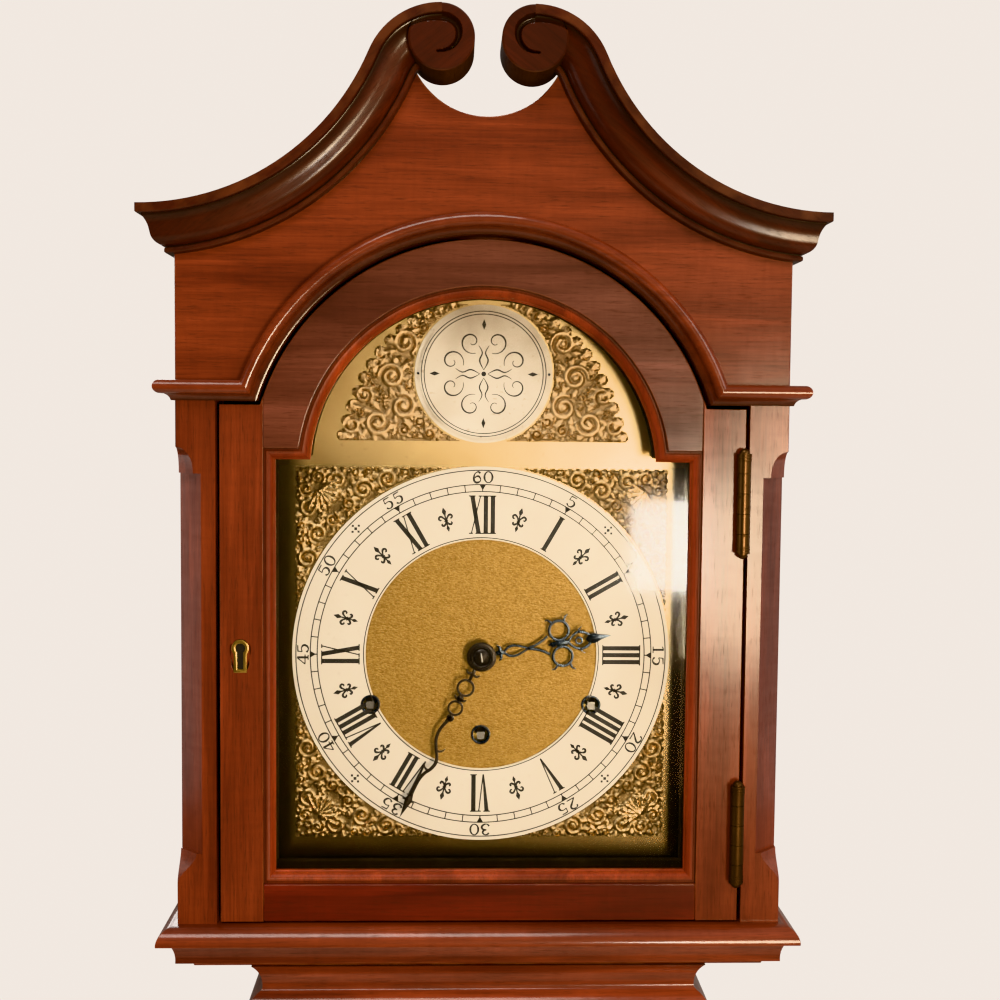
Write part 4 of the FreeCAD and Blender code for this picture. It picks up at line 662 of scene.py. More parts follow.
def closed(shape: Shape) -> Shape:
    """Merges doubles and turns the faces outwards."""
    bmesh.ops.remove_doubles(shape, verts=shape.verts, dist=1e-7)
    bmesh.ops.recalc_face_normals(shape, faces=shape.faces)
    return shape


def attach(piece: Piece, body: str, replaces: Sequence[str] = ()) -> Piece:
    """Rides a piece on its body and hides the plain solids that it stands for.

    Args:
        piece: the finished piece.
        body: the body that it moves with.
        replaces: the plain solids that it stands for.

    Returns:
        The same piece.
    """
    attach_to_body(piece, body)
    for node in replaces:
        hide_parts(node)
    log.info("%s rides on %s", piece.name, body)
    return piece


def smooth_path(points: Outline, steps: int = 8) -> list[Point]:
    """Runs a smooth curve through points.

    Args:
        points: the points, in order.
        steps: how many points each stretch gets.

    Returns:
        The points along the curve.
    """
    ends = [points[0], *points, points[-1]]
    path: list[Point] = []
    for a, b, c, d in zip(ends, ends[1:], ends[2:], ends[3:]):
        for step in range(steps):
            t = step / steps
            path.append(tuple(0.5 * (2 * q + (r - p) * t + (2 * p - 5 * q + 4 * r - s) * t * t
                                     + (3 * q - p - 3 * r + s) * t ** 3)
                              for p, q, r, s in zip(a, b, c, d)))
    return [*path, tuple(points[-1])]


def ribbon(path: Outline, widths: Sequence[float]) -> list[Point]:
    """Gives a path a width.

    Args:
        path: the middle line.
        widths: widths spread evenly along it.

    Returns:
        The outline of the ribbon.
    """
    line = np.array(path, float)
    way = np.gradient(line, axis=0)
    way /= np.maximum(np.linalg.norm(way, axis=1, keepdims=True), 1e-9)
    side = np.column_stack((-way[:, 1], way[:, 0]))
    along = np.linspace(0, 1, len(line))
    half = np.interp(along, np.linspace(0, 1, len(widths)), widths)[:, None] / 2
    edge = np.vstack((line + side * half, (line - side * half)[::-1]))
    return [tuple(p) for p in edge]


def spiral(centre: Point, radii: Point, angles: Point, steps: int = 40) -> list[Point]:
    """Returns a spiral about a centre, from one radius and angle in degrees to another."""
    turns = np.radians(np.linspace(*angles, steps))
    reach = np.linspace(*radii, steps)
    return [(centre[0] + r * math.cos(a), centre[1] + r * math.sin(a)) for r, a in zip(reach, turns)]


def circle(centre: Point, radius: float, steps: int) -> list[Point]:
    """Returns the points of a circle, clockwise from its top."""
    turns = [2 * math.pi * i / steps for i in range(steps)]
    return [(centre[0] + radius * math.sin(a), centre[1] + radius * math.cos(a)) for a in turns]


def rounded(shape: Shape, edges: list[bmesh.types.BMEdge], width: float) -> list[bmesh.types.BMFace]:
    """Rounds edges by a width in millimetres, and returns the faces that this makes."""
    made = bmesh.ops.bevel(shape, geom=edges, offset=width * MM, segments=2, profile=0.5, affect="EDGES",
                           clamp_overlap=True)
    return made["faces"]


def front_middle(node: str) -> Point:
    """Returns the middle of a solid as it is seen from the front."""
    low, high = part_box(node)
    return (low.x + high.x) / 2 / MM, (low.z + high.z) / 2 / MM


def marked(shape: Shape, layer: bmesh.types.BMLayerItem, spot: Sequence[float], mark: float) -> Corner:
    """Adds a vertex at a place in millimetres, with a value in one of the mesh's layers, and returns it."""
    vert = shape.verts.new(Vector(spot) * MM)
    vert[layer] = mark
    return vert


def skin(shape: Shape, rings: Sequence[Sequence[Corner]], joined: bool = False) -> list[bmesh.types.BMFace]:
    """Lays faces from each ring of vertices to the next.

    Args:
        shape: the mesh that the faces go into.
        rings: the rings, each with as many vertices.
        joined: whether the last ring runs on into the first; otherwise the two ends are filled.

    Returns:
        The faces, ring by ring, and then the first and the last end.
    """
    count = len(rings[0])
    faces = []
    for low, high in zip(rings, [*rings[1:], rings[0]] if joined else rings[1:]):
        for i in range(count):
            j = (i + 1) % count
            faces.append(shape.faces.new((low[i], low[j], high[j], high[i])))
    if not joined:
        faces += [shape.faces.new(rings[0]), shape.faces.new(rings[-1])]
    return faces


class Sheet:
    """Flat pieces in the plane of the front, gathered into one mesh with a thickness."""

    def __init__(self, front: float, back: float, centre: Point = (0.0, 0.0), turn: float = 0.0) -> None:
        """Sets the two levels along Y, the centre and the clockwise turn in degrees."""
        self.front = front
        self.back = back
        self.centre = centre
        self.turn = math.radians(turn)
        self.shape = bmesh.new()

    def spot(self, point: Point, y: float) -> Vector:
        """Returns a point of the plane, at a level, in metres."""
        x, z = point
        cos, sin = math.cos(self.turn), math.sin(self.turn)
        across = self.centre[0] + x * cos + z * sin
        up = self.centre[1] - x * sin + z * cos
        return Vector((across, y, up)) * MM

    def fill(self, outline: Outline) -> None:
        """Adds a filled outline.

        Args:
            outline: its points in order.
        """
        clean = [p for i, p in enumerate(outline) if math.dist(p, outline[i - 1]) > 1e-4]
        face = self.shape.faces.new([self.shape.verts.new(self.spot(p, self.back)) for p in clean])
        lifted = bmesh.ops.extrude_face_region(self.shape, geom=[face])["geom"]
        shift = Vector((0, (self.front - self.back) * MM, 0))
        for vert in (v for v in lifted if isinstance(v, Corner)):
            vert.co += shift

    def strip(self, path: Outline, widths: Sequence[float]) -> None:
        """Adds a ribbon in short closed lengths, so that it may curl over itself.

        Args:
            path: its middle line.
            widths: widths spread evenly along it.
        """
        edge = ribbon(path, widths)
        rings = []
        for one, other in zip(edge, reversed(edge[len(path):])):
            corners = ((one, self.front), (other, self.front), (other, self.back), (one, self.back))
            rings.append([self.shape.verts.new(self.spot(p, y)) for p, y in corners])
        skin(self.shape, rings)

    def curve(self, points: Outline, widths: Sequence[float], steps: int = 5, side: int = 1) -> None:
        """Adds a smooth ribbon through points, which side -1 puts left of the middle line."""
        self.strip(smooth_path([(side * x, z) for x, z in points], steps), widths)

    def ring(self, centre: Point, inner: float, outer: float, steps: int = 48) -> None:
        """Adds a flat ring."""
        self.band(circle(centre, outer, steps), circle(centre, inner, steps))

    def band(self, outer: Outline, inner: Outline) -> None:
        """Adds a closed band between two outlines whose points pair up."""
        edges = ((inner, self.back), (outer, self.back), (outer, self.front), (inner, self.front))
        rings = [[self.shape.verts.new(self.spot(p, y)) for p in outline] for outline, y in edges]
        skin(self.shape, rings, joined=True)

    def disc(self, centre: Point, radius: float, steps: int = 24) -> None:
        """Adds a flat disc."""
        self.fill(circle(centre, radius, steps))

    def piece(self, name: str, material: Material, bevel: float = 0.0) -> Piece:
        """Finishes the sheet, its edges eased by a bevel in millimetres, and returns its object."""
        bmesh.ops.recalc_face_normals(self.shape, faces=self.shape.faces)
        if bevel:
            seams = [e for e in self.shape.edges if len(e.link_faces) == 2]
            rounded(self.shape, [e for e in seams if e.calc_face_angle(0) > RIM_ANGLE], bevel)
        return finish_mesh(name, self.shape, [material])


def turned(shape: Shape, centre: Sequence[float], section: Outline, upright: bool = False,
           steps: int = 40) -> None:
    """Adds a solid turned about an axis that runs along Y, or upright.

    Args:
        shape: the mesh that it goes into.
        centre: a point of the axis.
        section: radii, each with its level along the axis.
        upright: whether the axis stands upright.
        steps: how many faces go round.
    """
    rings = []
    for radius, level in section:
        ring = []
        for i in range(steps):
            angle = 2 * math.pi * i / steps
            across, other = radius * math.cos(angle), radius * math.sin(angle)
            offset = (across, other, level) if upright else (across, level, other)
            ring.append(shape.verts.new((Vector(centre) + Vector(offset)) * MM))
        rings.append(ring)
    skin(shape, rings)


def repeat_tree(name: str, inputs: dict[str, str],
                scatter: Callable[[Graph, dict], tuple[Socket, Socket]]) -> Tree:
    """Builds a Geometry Nodes tree that sets a piece at points, turned about Y.

    Args:
        name: the tree's name.
        inputs: the kind of socket by input name, besides the piece and its finish.
        scatter: makes the points and their angles from the input sockets.

    Returns:
        The finished tree.
    """
    tree = bpy.data.node_groups.new(name, "GeometryNodeTree")
    for label, kind in {"Geometry": "Geometry", **inputs, "Material": "Material"}.items():
        tree.interface.new_socket(label, in_out="INPUT", socket_type=f"NodeSocket{kind}")
    tree.interface.new_socket("Geometry", in_out="OUTPUT", socket_type="NodeSocketGeometry")
    graph = Graph(tree)
    given = graph.node("NodeGroupInput").outputs
    points, angle = scatter(graph, given)
    axis = graph.node("ShaderNodeCombineXYZ", {"Y": angle}).outputs[0]
    turn = graph.node("FunctionNodeEulerToRotation", {0: axis}).outputs[0]
    copies = graph.node("GeometryNodeInstanceOnPoints", {"Points": points, "Instance": given["Geometry"],
                                                         "Rotation": turn})
    real = graph.node("GeometryNodeRealizeInstances", {"Geometry": copies.outputs[0]}).outputs[0]
    dressed = graph.node("GeometryNodeSetMaterial", {"Geometry": real, "Material": given["Material"]})
    graph.node("NodeGroupOutput", {"Geometry": dressed.outputs[0]})
    return tree


def round_the_dial(graph: Graph, given: dict) -> tuple[Socket, Socket]:
    """Sets points in the dial's middle, turned in even steps.

    Args:
        graph: the tree's graph.
        given: its input sockets by name.

    Returns:
        The points and their angles.
    """
    centre = graph.node("ShaderNodeCombineXYZ", {"Z": given["Centre Height"]}).outputs[0]
    spots = graph.node("GeometryNodePoints", {"Count": given["Count"], "Position": centre})
    index = graph.node("GeometryNodeInputIndex").outputs[0]
    step = graph.math("DIVIDE", 2 * math.pi, given["Count"])
    return spots.outputs[0], graph.math("ADD", graph.math("MULTIPLY", index, step), given["First Angle"])


def rows_of_screws(graph: Graph, given: dict) -> tuple[Socket, Socket]:
    """Sets points in upright rows, turned by chance.

    Args:
        graph: the tree's graph.
        given: its input sockets by name.

    Returns:
        The points and their angles.
    """
    grid = graph.node("GeometryNodeMeshGrid", {"Size X": given["Width"], "Size Y": given["Height"],
                                               "Vertices X": given["Columns"], "Vertices Y": given["Rows"]})
    upright = (math.pi / 2, 0.0, 0.0)
    stood = graph.node("GeometryNodeTransform", {"Geometry": grid.outputs["Mesh"], "Rotation": upright,
                                                 "Translation": given["Place"]})
    limits = {2: 0.0, 3: math.pi, "Seed": given["Seed"]}
    chance = graph.node("FunctionNodeRandomValue", limits, data_type="FLOAT")
    return stood.outputs[0], chance.outputs[1]


def repeat(piece: Piece, tree: Tree, values: dict[str, object]) -> Piece:
    """Runs a Geometry Nodes tree over a piece and keeps the result as a plain mesh.

    Args:
        piece: the piece to repeat.
        tree: the tree.
        values: the tree's inputs by name.

    Returns:
        The same piece, with the repeated mesh.
    """
    modifier = piece.modifiers.new("repeat", "NODES")
    modifier.node_group = tree
    for item in tree.interface.items_tree:
        if item.item_type == "SOCKET" and item.in_out == "INPUT" and item.name in values:
            modifier[item.identifier] = values[item.name]
    return plain_copy(piece)


def carve(piece: Piece, tool: Piece) -> None:
    """Cuts one piece with another, whose finish the cut takes.

    Args:
        piece: the piece to cut.
        tool: the cutter, which is removed.
    """
    modifier = piece.modifiers.new("carve", "BOOLEAN")
    modifier.object = tool
    modifier.solver = "EXACT"
    modifier.material_mode = "TRANSFER"
    plain_copy(piece)
    bpy.data.objects.remove(tool)


@dataclass
class Joinery:
    """Boards and mouldings kept from the frame, with their edges eased and their grain set."""

    effects: Effects
    nodes: dict[str, Piece]
    seed: int = 0
    board_ease: float = 0.9
    moulding_ease: float = 0.35
    flat: float = math.radians(0.4)
    corner: float = math.radians(28)

    def eased(self, node: str, width: float) -> Shape:
        """Copies a solid and rounds its outer corners, marking the rounded faces as rubbed.

        Args:
            node: the solid's name.
            width: the width of the rounding, in millimetres.

        Returns:
            The eased copy.
        """
        shape = bmesh.new()
        shape.from_mesh(self.nodes[node].data)
        bmesh.ops.remove_doubles(shape, verts=shape.verts, dist=2e-6)
        bmesh.ops.dissolve_limit(shape, angle_limit=self.flat, verts=shape.verts, edges=shape.edges)
        # This layer marks wear above zero and painted shade below zero.
        worn = shape.loops.layers.float.new("worn")
        seams = [e for e in shape.edges if len(e.link_faces) == 2]
        edges = [e for e in seams if e.calc_face_angle_signed(0) > self.corner]
        for face in rounded(shape, edges, width):
            for loop in face.loops:
                loop[worn] = 1.0
        return shape

    @staticmethod
    def stand_in(node: str, shape: Shape, materials: Sequence[Material], body: str, slot: str) -> Piece:
        """Makes the piece that stands for a solid, with its broad faces flat, and returns it."""
        return attach(true_faces(finish_mesh(f"{node}_eased", shape, materials)), body, [node])

    def timber(self, wood: Timber, grain: Grain) -> Material:
        """Returns a timber cut from a fresh part of the log."""
        self.seed += 1
        return wood.material(self.effects, grain, self.seed)

    def board(self, node: str, body: str, wood: Timber, slot: str, grain: Grain,
              rail_half: float = 0.0) -> Piece:
        """Dresses a board or a frame.

        Args:
            node: the solid's name.
            body: the body that it belongs to.
            wood: its timber.
            slot: its material slot in the record; not used.
            grain: the way that its grain runs.
            rail_half: half the width between a frame's stiles, where the grain of its rails runs across.

        Returns:
            The piece that stands for the solid.
        """
        shape = self.eased(node, self.board_ease)
        for face in shape.faces:
            if abs(face.calc_center_median().x) < rail_half * MM:
                face.material_index = 1
        woods = [self.timber(wood, grain)]
        if rail_half:
            woods.append(self.timber(wood, Grain.ACROSS))
        return self.stand_in(node, shape, woods, body, slot)

    def metal(self, node: str, body: str, slot: str, material: Material, ease: float) -> None:
        """Dresses a metal solid, its corners rounded by a width in millimetres."""
        self.stand_in(node, self.eased(node, ease), [material], body, slot)

    def moulding(self, node: str, body: str, half: float, front: float,
                 painted_shade: Callable[[Vector], float] = lambda spot: 0.0) -> Piece:
        """Dresses a moulding that returns along both sides, its grain along each run.

        Args:
            node: the moulding's solid.
            body: the body that it belongs to.
            half: half the width of what it runs round, in millimetres.
            front: the front of what it runs round.
            painted_shade: how much painted shade darkens its hollows at a point in millimetres, from 0 to 1.

        Returns:
            The piece that stands for it.
        """
        shape = self.eased(node, self.moulding_ease)
        worn = shape.loops.layers.float["worn"]
        for face in shape.faces:
            middle = face.calc_center_median() / MM
            if abs(middle.x) - half > front - middle.y:
                face.material_index = 1
            # Painted shade darkens the hollows: the mark goes below zero.
            for loop in face.loops:
                dark = painted_shade(loop.vert.co / MM)
                if dark > 0:
                    loop[worn] = -dark
        woods = [self.timber(MOULDED, Grain.ACROSS), self.timber(MOULDED, Grain.DEEP)]
        return self.stand_in(node, shape, woods, body, "mahogany")


@dataclass(frozen=True)
class Lamp:
    """A softbox that faces a point, in metres and watts."""

    name: str
    place: Place
    aim: Place
    size: Point
    power: float
    colour: Place

    def build(self) -> None:
        """Adds the lamp to the scene."""
        data = bpy.data.lights.new(self.name, "AREA")
        data.shape = "RECTANGLE"
        data.size, data.size_y = self.size
        data.energy = self.power
        data.color = self.colour
        lamp = bpy.data.objects.new(self.name, data)
        lamp.location = self.place
        lamp.rotation_euler = (Vector(self.aim) - Vector(self.place)).to_track_quat("-Z", "Y").to_euler()
        bpy.context.scene.collection.objects.link(lamp)


@dataclass
class Studio:
    """The camera at the photograph's viewpoint, the lights, the pale floor and the pale room."""

    lens: float = 48.6
    sensor: float = 36.0
    eye: Place = (-17.8, -898.75, 1548.2)
    yaw: float = -1.96
    pitch: float = 3.52
    roll: float = 0.54
    floor_half: float = 1900.0
    backdrop: Colour = (1.06, 0.97, 0.9, 1.0)
    room_bright: Colour = (0.62, 0.57, 0.5, 1.0)
    room_dim: Colour = (0.05, 0.042, 0.035, 1.0)
    room_way: Place = (0.55, 0.3, 0.78)
    floor_dark: Colour = (0.8, 0.76, 0.7, 1)
    floor_pale: Colour = (0.85, 0.815, 0.76, 1)
    lamps: tuple[Lamp, ...] = (
        Lamp("window", (0.6, -2.0, 1.24), (0.0, -0.05, 1.45), (0.28, 0.36), 16.0, (1.0, 0.77, 0.51)),
        Lamp("window_foot", (0.6, -2.0, 0.92), (0.0, -0.05, 1.45), (0.28, 0.28), 1.0, (1.0, 0.6, 0.35)),
        Lamp("window_head", (0.65, -2.0, 1.52), (0.0, -0.05, 1.45), (0.16, 0.2), 2.9, (1.0, 0.75, 0.5)),
        Lamp("pane", (0.41, -2.0, 1.29), (0.05, -0.05, 1.45), (0.13, 0.18), 4.4, (1.0, 0.93, 0.84)),
        Lamp("wall", (-1.3, 0.3, 1.42), (-0.17, -0.09, 1.42), (0.35, 0.9), 2.2, (1.0, 0.94, 0.88)),
        Lamp("far_wall", (1.3, 0.3, 1.42), (0.17, -0.09, 1.42), (0.35, 0.9), 1.0, (1.0, 0.93, 0.85)),
        Lamp("ceiling", (-0.25, -1.25, 3.0), (0.0, 0.0, 1.5), (1.0, 0.8), 19.0, (1.0, 0.93, 0.85)),
        Lamp("key", (1.9, -1.5, 2.3), (0.0, 0.0, 1.4), (1.2, 1.2), 19.0, (1.0, 0.93, 0.84)),
        Lamp("fill", (-2.3, -1.3, 1.5), (0.0, 0.0, 1.2), (1.4, 1.8), 12.0, (1.0, 0.95, 0.9)),
        Lamp("back", (-0.5, 2.2, 2.4), (0.0, 0.1, 1.1), (1.6, 1.6), 40.0, (1.0, 0.97, 0.94)))

    def camera(self) -> None:
        """Makes the camera from its place and its three turns."""
        down_first = Matrix(((1, 0, 0), (0, 0, -1), (0, 1, 0)))
        yaw = Matrix.Rotation(math.radians(self.yaw), 3, "Y")
        pitch = Matrix.Rotation(math.radians(self.pitch), 3, "X")
        roll = Matrix.Rotation(math.radians(self.roll), 3, "Z")
        rows = roll @ pitch @ yaw @ down_first
        frame = Matrix((rows[0], -rows[1], -rows[2])).transposed().to_4x4()
        frame.translation = Vector(self.eye) * MM
        data = bpy.data.cameras.new("camera")
        data.lens = self.lens
        data.sensor_width = self.sensor
        camera = bpy.data.objects.new("camera", data)
        camera.matrix_world = frame
        bpy.context.scene.collection.objects.link(camera)
        bpy.context.scene.camera = camera

    def room(self) -> None:
        """Sets the pale backdrop, and room light that comes mostly from the upper right."""
        world = bpy.data.worlds.new("room")
        world.use_nodes = True
        graph = Graph(world.node_tree)
        way = graph.node("ShaderNodeTexCoord").outputs["Generated"]
        tilt = graph.node("ShaderNodeVectorMath", {0: way, 1: self.room_way}, operation="DOT_PRODUCT")
        share = graph.spread(tilt.outputs["Value"], -0.45, 0.95)
        light = graph.mix(share, self.room_dim, self.room_bright)
        rays = graph.node("ShaderNodeLightPath").outputs
        scattered = graph.math("ADD", rays["Diffuse Depth"], rays["Glossy Depth"])
        through = graph.math("MULTIPLY", rays["Is Transmission Ray"], graph.math("LESS_THAN", scattered, 0.5))
        seen = graph.math("MAXIMUM", rays["Is Camera Ray"], through)
        shade = next(n for n in world.node_tree.nodes if n.type == "BACKGROUND")
        graph.feed(shade, {"Color": graph.mix(seen, light, self.backdrop)})
        bpy.context.scene.world = world
        bpy.context.scene.view_settings.view_transform = "Khronos PBR Neutral"

    def floor(self) -> None:
        """Makes the plain pale floor."""
        shape = bmesh.new()
        bmesh.ops.create_grid(shape, x_segments=4, y_segments=4, size=self.floor_half * MM)
        material, graph, shader = blank_material("pale_floor")
        tone = graph.noise(object_space(graph), 0.7, 2.0)
        colour = graph.mix(tone, self.floor_dark, self.floor_pale)
        graph.feed(shader, {"Base Color": colour, "Roughness": 0.85})
        finish_mesh("pale_floor", shape, [material])

    def build(self) -> None:
        """Makes the whole studio."""
        self.camera()
        for lamp in self.lamps:
            lamp.build()
        self.room()
        self.floor()


@dataclass
class Carcase:
    """The case that stands on the floor: base, trunk, backboard and the trunk door."""

    joinery: Joinery
    trunk_half: float = 131.0
    trunk_front: float = -84.25
    base_half: float = 153.0
    base_front: float = -106.25
    back: float = 116.75
    plank_joints: tuple[float, ...] = (-46.0, 47.5)
    screw_radius: float = 4.1
    screw_sunk: float = 0.35
    screw_slot: float = 0.12
    sink_depth: float = 1.2
    sink_play: float = 0.3
    joint_half: float = 1.5
    joint_depth: float = 1.3
    joint_ends: Point = (-5.0, 1700.0)
    trunk_door_half: float = 88.0

    def plank_joints_tool(self) -> Piece:
        """Returns the bars that cut the V-shaped joints between the backboard's planks."""
        joints = bmesh.new()
        over = self.back + 0.3
        for x in self.plank_joints:
            left, right = x - self.joint_half, x + self.joint_half
            section = ((left, over), (x, self.back - self.joint_depth), (right, over))
            skin(joints, [[joints.verts.new(Vector((across, y, z)) * MM) for across, y in section]
                          for z in self.joint_ends])
        return finish_mesh("plank_joints", closed(joints), [self.joinery.timber(UNPOLISHED, Grain.UPRIGHT)])

    def planks_and_screws(self, board: Piece) -> None:
        """Marks the backboard's joints, and screws it to the trunk's sides.

        Args:
            board: the backboard.
        """
        kinds = {"Columns": "Int", "Rows": "Int", "Width": "Float", "Height": "Float", "Place": "Vector",
                 "Seed": "Int"}
        tree = repeat_tree("rows_of_screws", kinds, rows_of_screws)
        spread = dict(zip(kinds, (2, 6, 0.244, 0.84, (0.0, 0.0, 0.72), 5)))
        hollow = Sheet(self.back - self.sink_depth, self.back + 1.0)
        hollow.disc((0.0, 0.0), self.screw_radius + self.sink_play)
        carve(board, repeat(hollow.piece("screw_sinks", board.data.materials[0]), tree, spread))
        carve(board, self.plank_joints_tool())
        heads = Sheet(self.back - self.screw_sunk, self.back - 1.0)
        lift = math.asin(self.screw_slot)
        for side in (0.0, math.pi):
            angles = np.linspace(side + lift, side + math.pi - lift, 17)
            heads.fill([(self.screw_radius * math.cos(a), self.screw_radius * math.sin(a)) for a in angles])
        steel = DARK_STEEL.material(self.joinery.effects)
        screws = repeat(heads.piece("backboard_screws", steel), tree, {**spread, "Material": steel})
        attach(screws, "case")

    def build(self) -> None:
        """Dresses every board and moulding of the case."""
        boards = (("trunk_sides", Grain.UPRIGHT, 0.0),
                  ("trunk_front_frame", Grain.UPRIGHT, self.trunk_door_half),
                  ("hood_seat_board", Grain.ACROSS, 0.0),
                  ("base_panels", Grain.UPRIGHT, 0.0))
        for node, grain, rail_half in boards:
            self.joinery.board(node, "case", MAHOGANY, "mahogany", grain, rail_half)
        self.planks_and_screws(self.joinery.board("backboard", "case", PINE, "pine", Grain.UPRIGHT))
        self.joinery.board("seatboard", "case", PINE, "pine", Grain.ACROSS)
        door = self.joinery.board("trunk_door", "trunk_door_leaf", MAHOGANY, "mahogany", Grain.UPRIGHT)
        Keyhole("trunk_escutcheon", "trunk_door_leaf", self.trunk_front).build(self.joinery.effects, door)
        for node in ("throat_moulding", "waist_moulding"):
            self.joinery.moulding(node, "case", self.trunk_half, self.trunk_front)
        self.joinery.moulding("plinth", "case", self.base_half, self.base_front)


@dataclass
class Keyhole:
    """A keyhole with a brass rim that follows its shape, let into the wood of a door."""

    node: str
    body: str
    face: float
    proud: float = 0.4
    rise: float = 4.6
    hole: Place = (3.0, 1.85, -8.0)
    rim: Place = (5.15, 3.9, -9.9)
    rim_back: float = 1.5
    rim_ease: float = 0.3
    hole_shade_front: float = 0.9
    wood_back: float = 1.2
    seat: Point = (6.15, 10.85)

    def outline(self, radius: float, half_slot: float, foot: float) -> list[Point]:
        """Returns a keyhole's outline about the plate's middle: a round above a slot."""
        turn = math.pi - math.asin(half_slot / radius)
        arc = [(radius * math.sin(a), self.rise + radius * math.cos(a)) for a in np.linspace(-turn, turn, 33)]
        return [*arc, (half_slot, foot), (-half_slot, foot)]

    def seat_edge(self, point: Point) -> Point:
        """Finds where a line from the middle crosses the seat's edge.

        Args:
            point: a point that the line runs to.

        Returns:
            The spot on the edge.
        """
        half, high = self.seat
        way = [part * 3 / math.hypot(*point) for part in point]
        low, far = 0.0, 3.0
        for _ in range(40):
            middle = (low + far) / 2
            x, z = way[0] * middle, way[1] * middle
            inside = math.hypot(x, max(0.0, abs(z) - (high - half))) < half
            low, far = (middle, far) if inside else (low, middle)
        return way[0] * low, way[1] * low

    def build(self, effects: Effects, door: Piece) -> None:
        """Makes the rim, a black sheet of painted shade for the dark inside the hole, and the wood let in
        round the rim.

        Args:
            effects: the shared shader groups.
            door: the board that it is let into.
        """
        centre = front_middle(self.node)
        rim = Sheet(self.face - self.proud, self.face + self.rim_back, centre)
        outer = self.outline(*self.rim)
        rim.band(outer, self.outline(*self.hole))
        brass = BRASS.material(effects)
        attach(rim.piece(f"{self.node}_rim", brass, self.rim_ease), self.body, [self.node])
        # A black sheet behind the rim is painted shade for the dark inside the hole.
        dark = Sheet(self.face + self.hole_shade_front, self.face + self.rim_back, centre)
        dark.fill(outer)
        attach(dark.piece(f"{self.node}_dark", WAX.material(effects)), self.body)
        wood = Sheet(self.face, self.face + self.wood_back, centre)
        wood.band([self.seat_edge(point) for point in outer], outer)
        attach(wood.piece(f"{self.node}_wood", door.data.materials[0]), self.body)


@dataclass
class Posts:
    """The hood's corner posts, their outer corners chamfered between a stop and a lamb's tongue."""

    joinery: Joinery
    half: float = 182.0
    width: float = 23.5
    front: float = -98.25
    depth: float = 30.0
    foot: float = 1242.0
    head: float = 1556.2
    chamfer: float = 15.0
    tongue: tuple[float, float] = (25.0, 43.0)
    stop: tuple[float, float] = (27.0, 43.0)
    tongue_ledge: float = 3.4
    stop_ledge: float = 4.6
    edge: float = 0.5

    def depth_at(self, z: float) -> float:
        """Says how far the outer corner is cut back.

        Args:
            z: the height.

        Returns:
            The depth of the cut.
        """
        rise = z - self.foot
        drop = self.head - z
        if rise <= self.tongue[0] or drop <= self.stop[0]:
            return self.edge
        if rise < self.tongue[1]:
            t = (rise - self.tongue[0]) / (self.tongue[1] - self.tongue[0])
            return self.edge + (self.chamfer - self.tongue_ledge - self.edge) * (3 * t * t - 2 * t ** 3)
        if drop < self.stop[1]:
            t = (drop - self.stop[0]) / (self.stop[1] - self.stop[0])
            return self.edge + (self.chamfer - self.stop_ledge - self.edge) * (1 - (1 - t) ** 2.4) ** 0.6
        return self.chamfer

    def levels(self) -> list[float]:
        """Returns the heights that the post's section changes at."""
        thin = 0.02
        low = np.linspace(self.foot + self.tongue[0], self.foot + self.tongue[1] - thin, 13)
        high = np.linspace(self.head - self.stop[1] + thin, self.head - self.stop[0], 15)
        return [self.foot, *low, self.foot + self.tongue[1], self.head - self.stop[1], *high, self.head]

    def mortise(self, piece: Piece) -> None:
        """Cuts the lock bolt's mortise through the left post's inner face.

        Args:
            piece: the posts.
        """
        low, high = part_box("door_lock_bolt")
        play = 0.0001
        travel = 0.008
        shape = bmesh.new()
        bmesh.ops.create_cube(shape, size=1.0)
        size = Vector((travel * 2, high.y - low.y + 2 * play, high.z - low.z + 2 * play))
        middle = Vector((-(self.half - self.width) * MM, (low.y + high.y) / 2, (low.z + high.z) / 2))
        bmesh.ops.transform(shape, matrix=Matrix.Translation(middle) @ Matrix.Diagonal((*size, 1.0)),
                            verts=shape.verts)
        tool = finish_mesh("mortise_tool", shape, [piece.data.materials[0]])
        carve(piece, tool)

    def build(self) -> None:
        """Makes both posts in one piece."""
        shape = bmesh.new()
        inner = self.half - self.width
        for side in (-1, 1):
            rings = []
            for z in self.levels():
                cut = self.depth_at(z)
                back = self.front + self.depth
                ring = [(inner, self.front), (inner, back), (self.half, back), (self.half, self.front + cut),
                        (self.half - cut, self.front)]
                rings.append([shape.verts.new(Vector((side * x, y, z)) * MM) for x, y in ring])
            skin(shape, rings)
        wood = self.joinery.timber(MAHOGANY, Grain.UPRIGHT)
        piece = finish_mesh("hood_posts_carved", closed(shape), [wood])
        self.mortise(piece)
        attach(piece, "hood", ["hood_posts"])


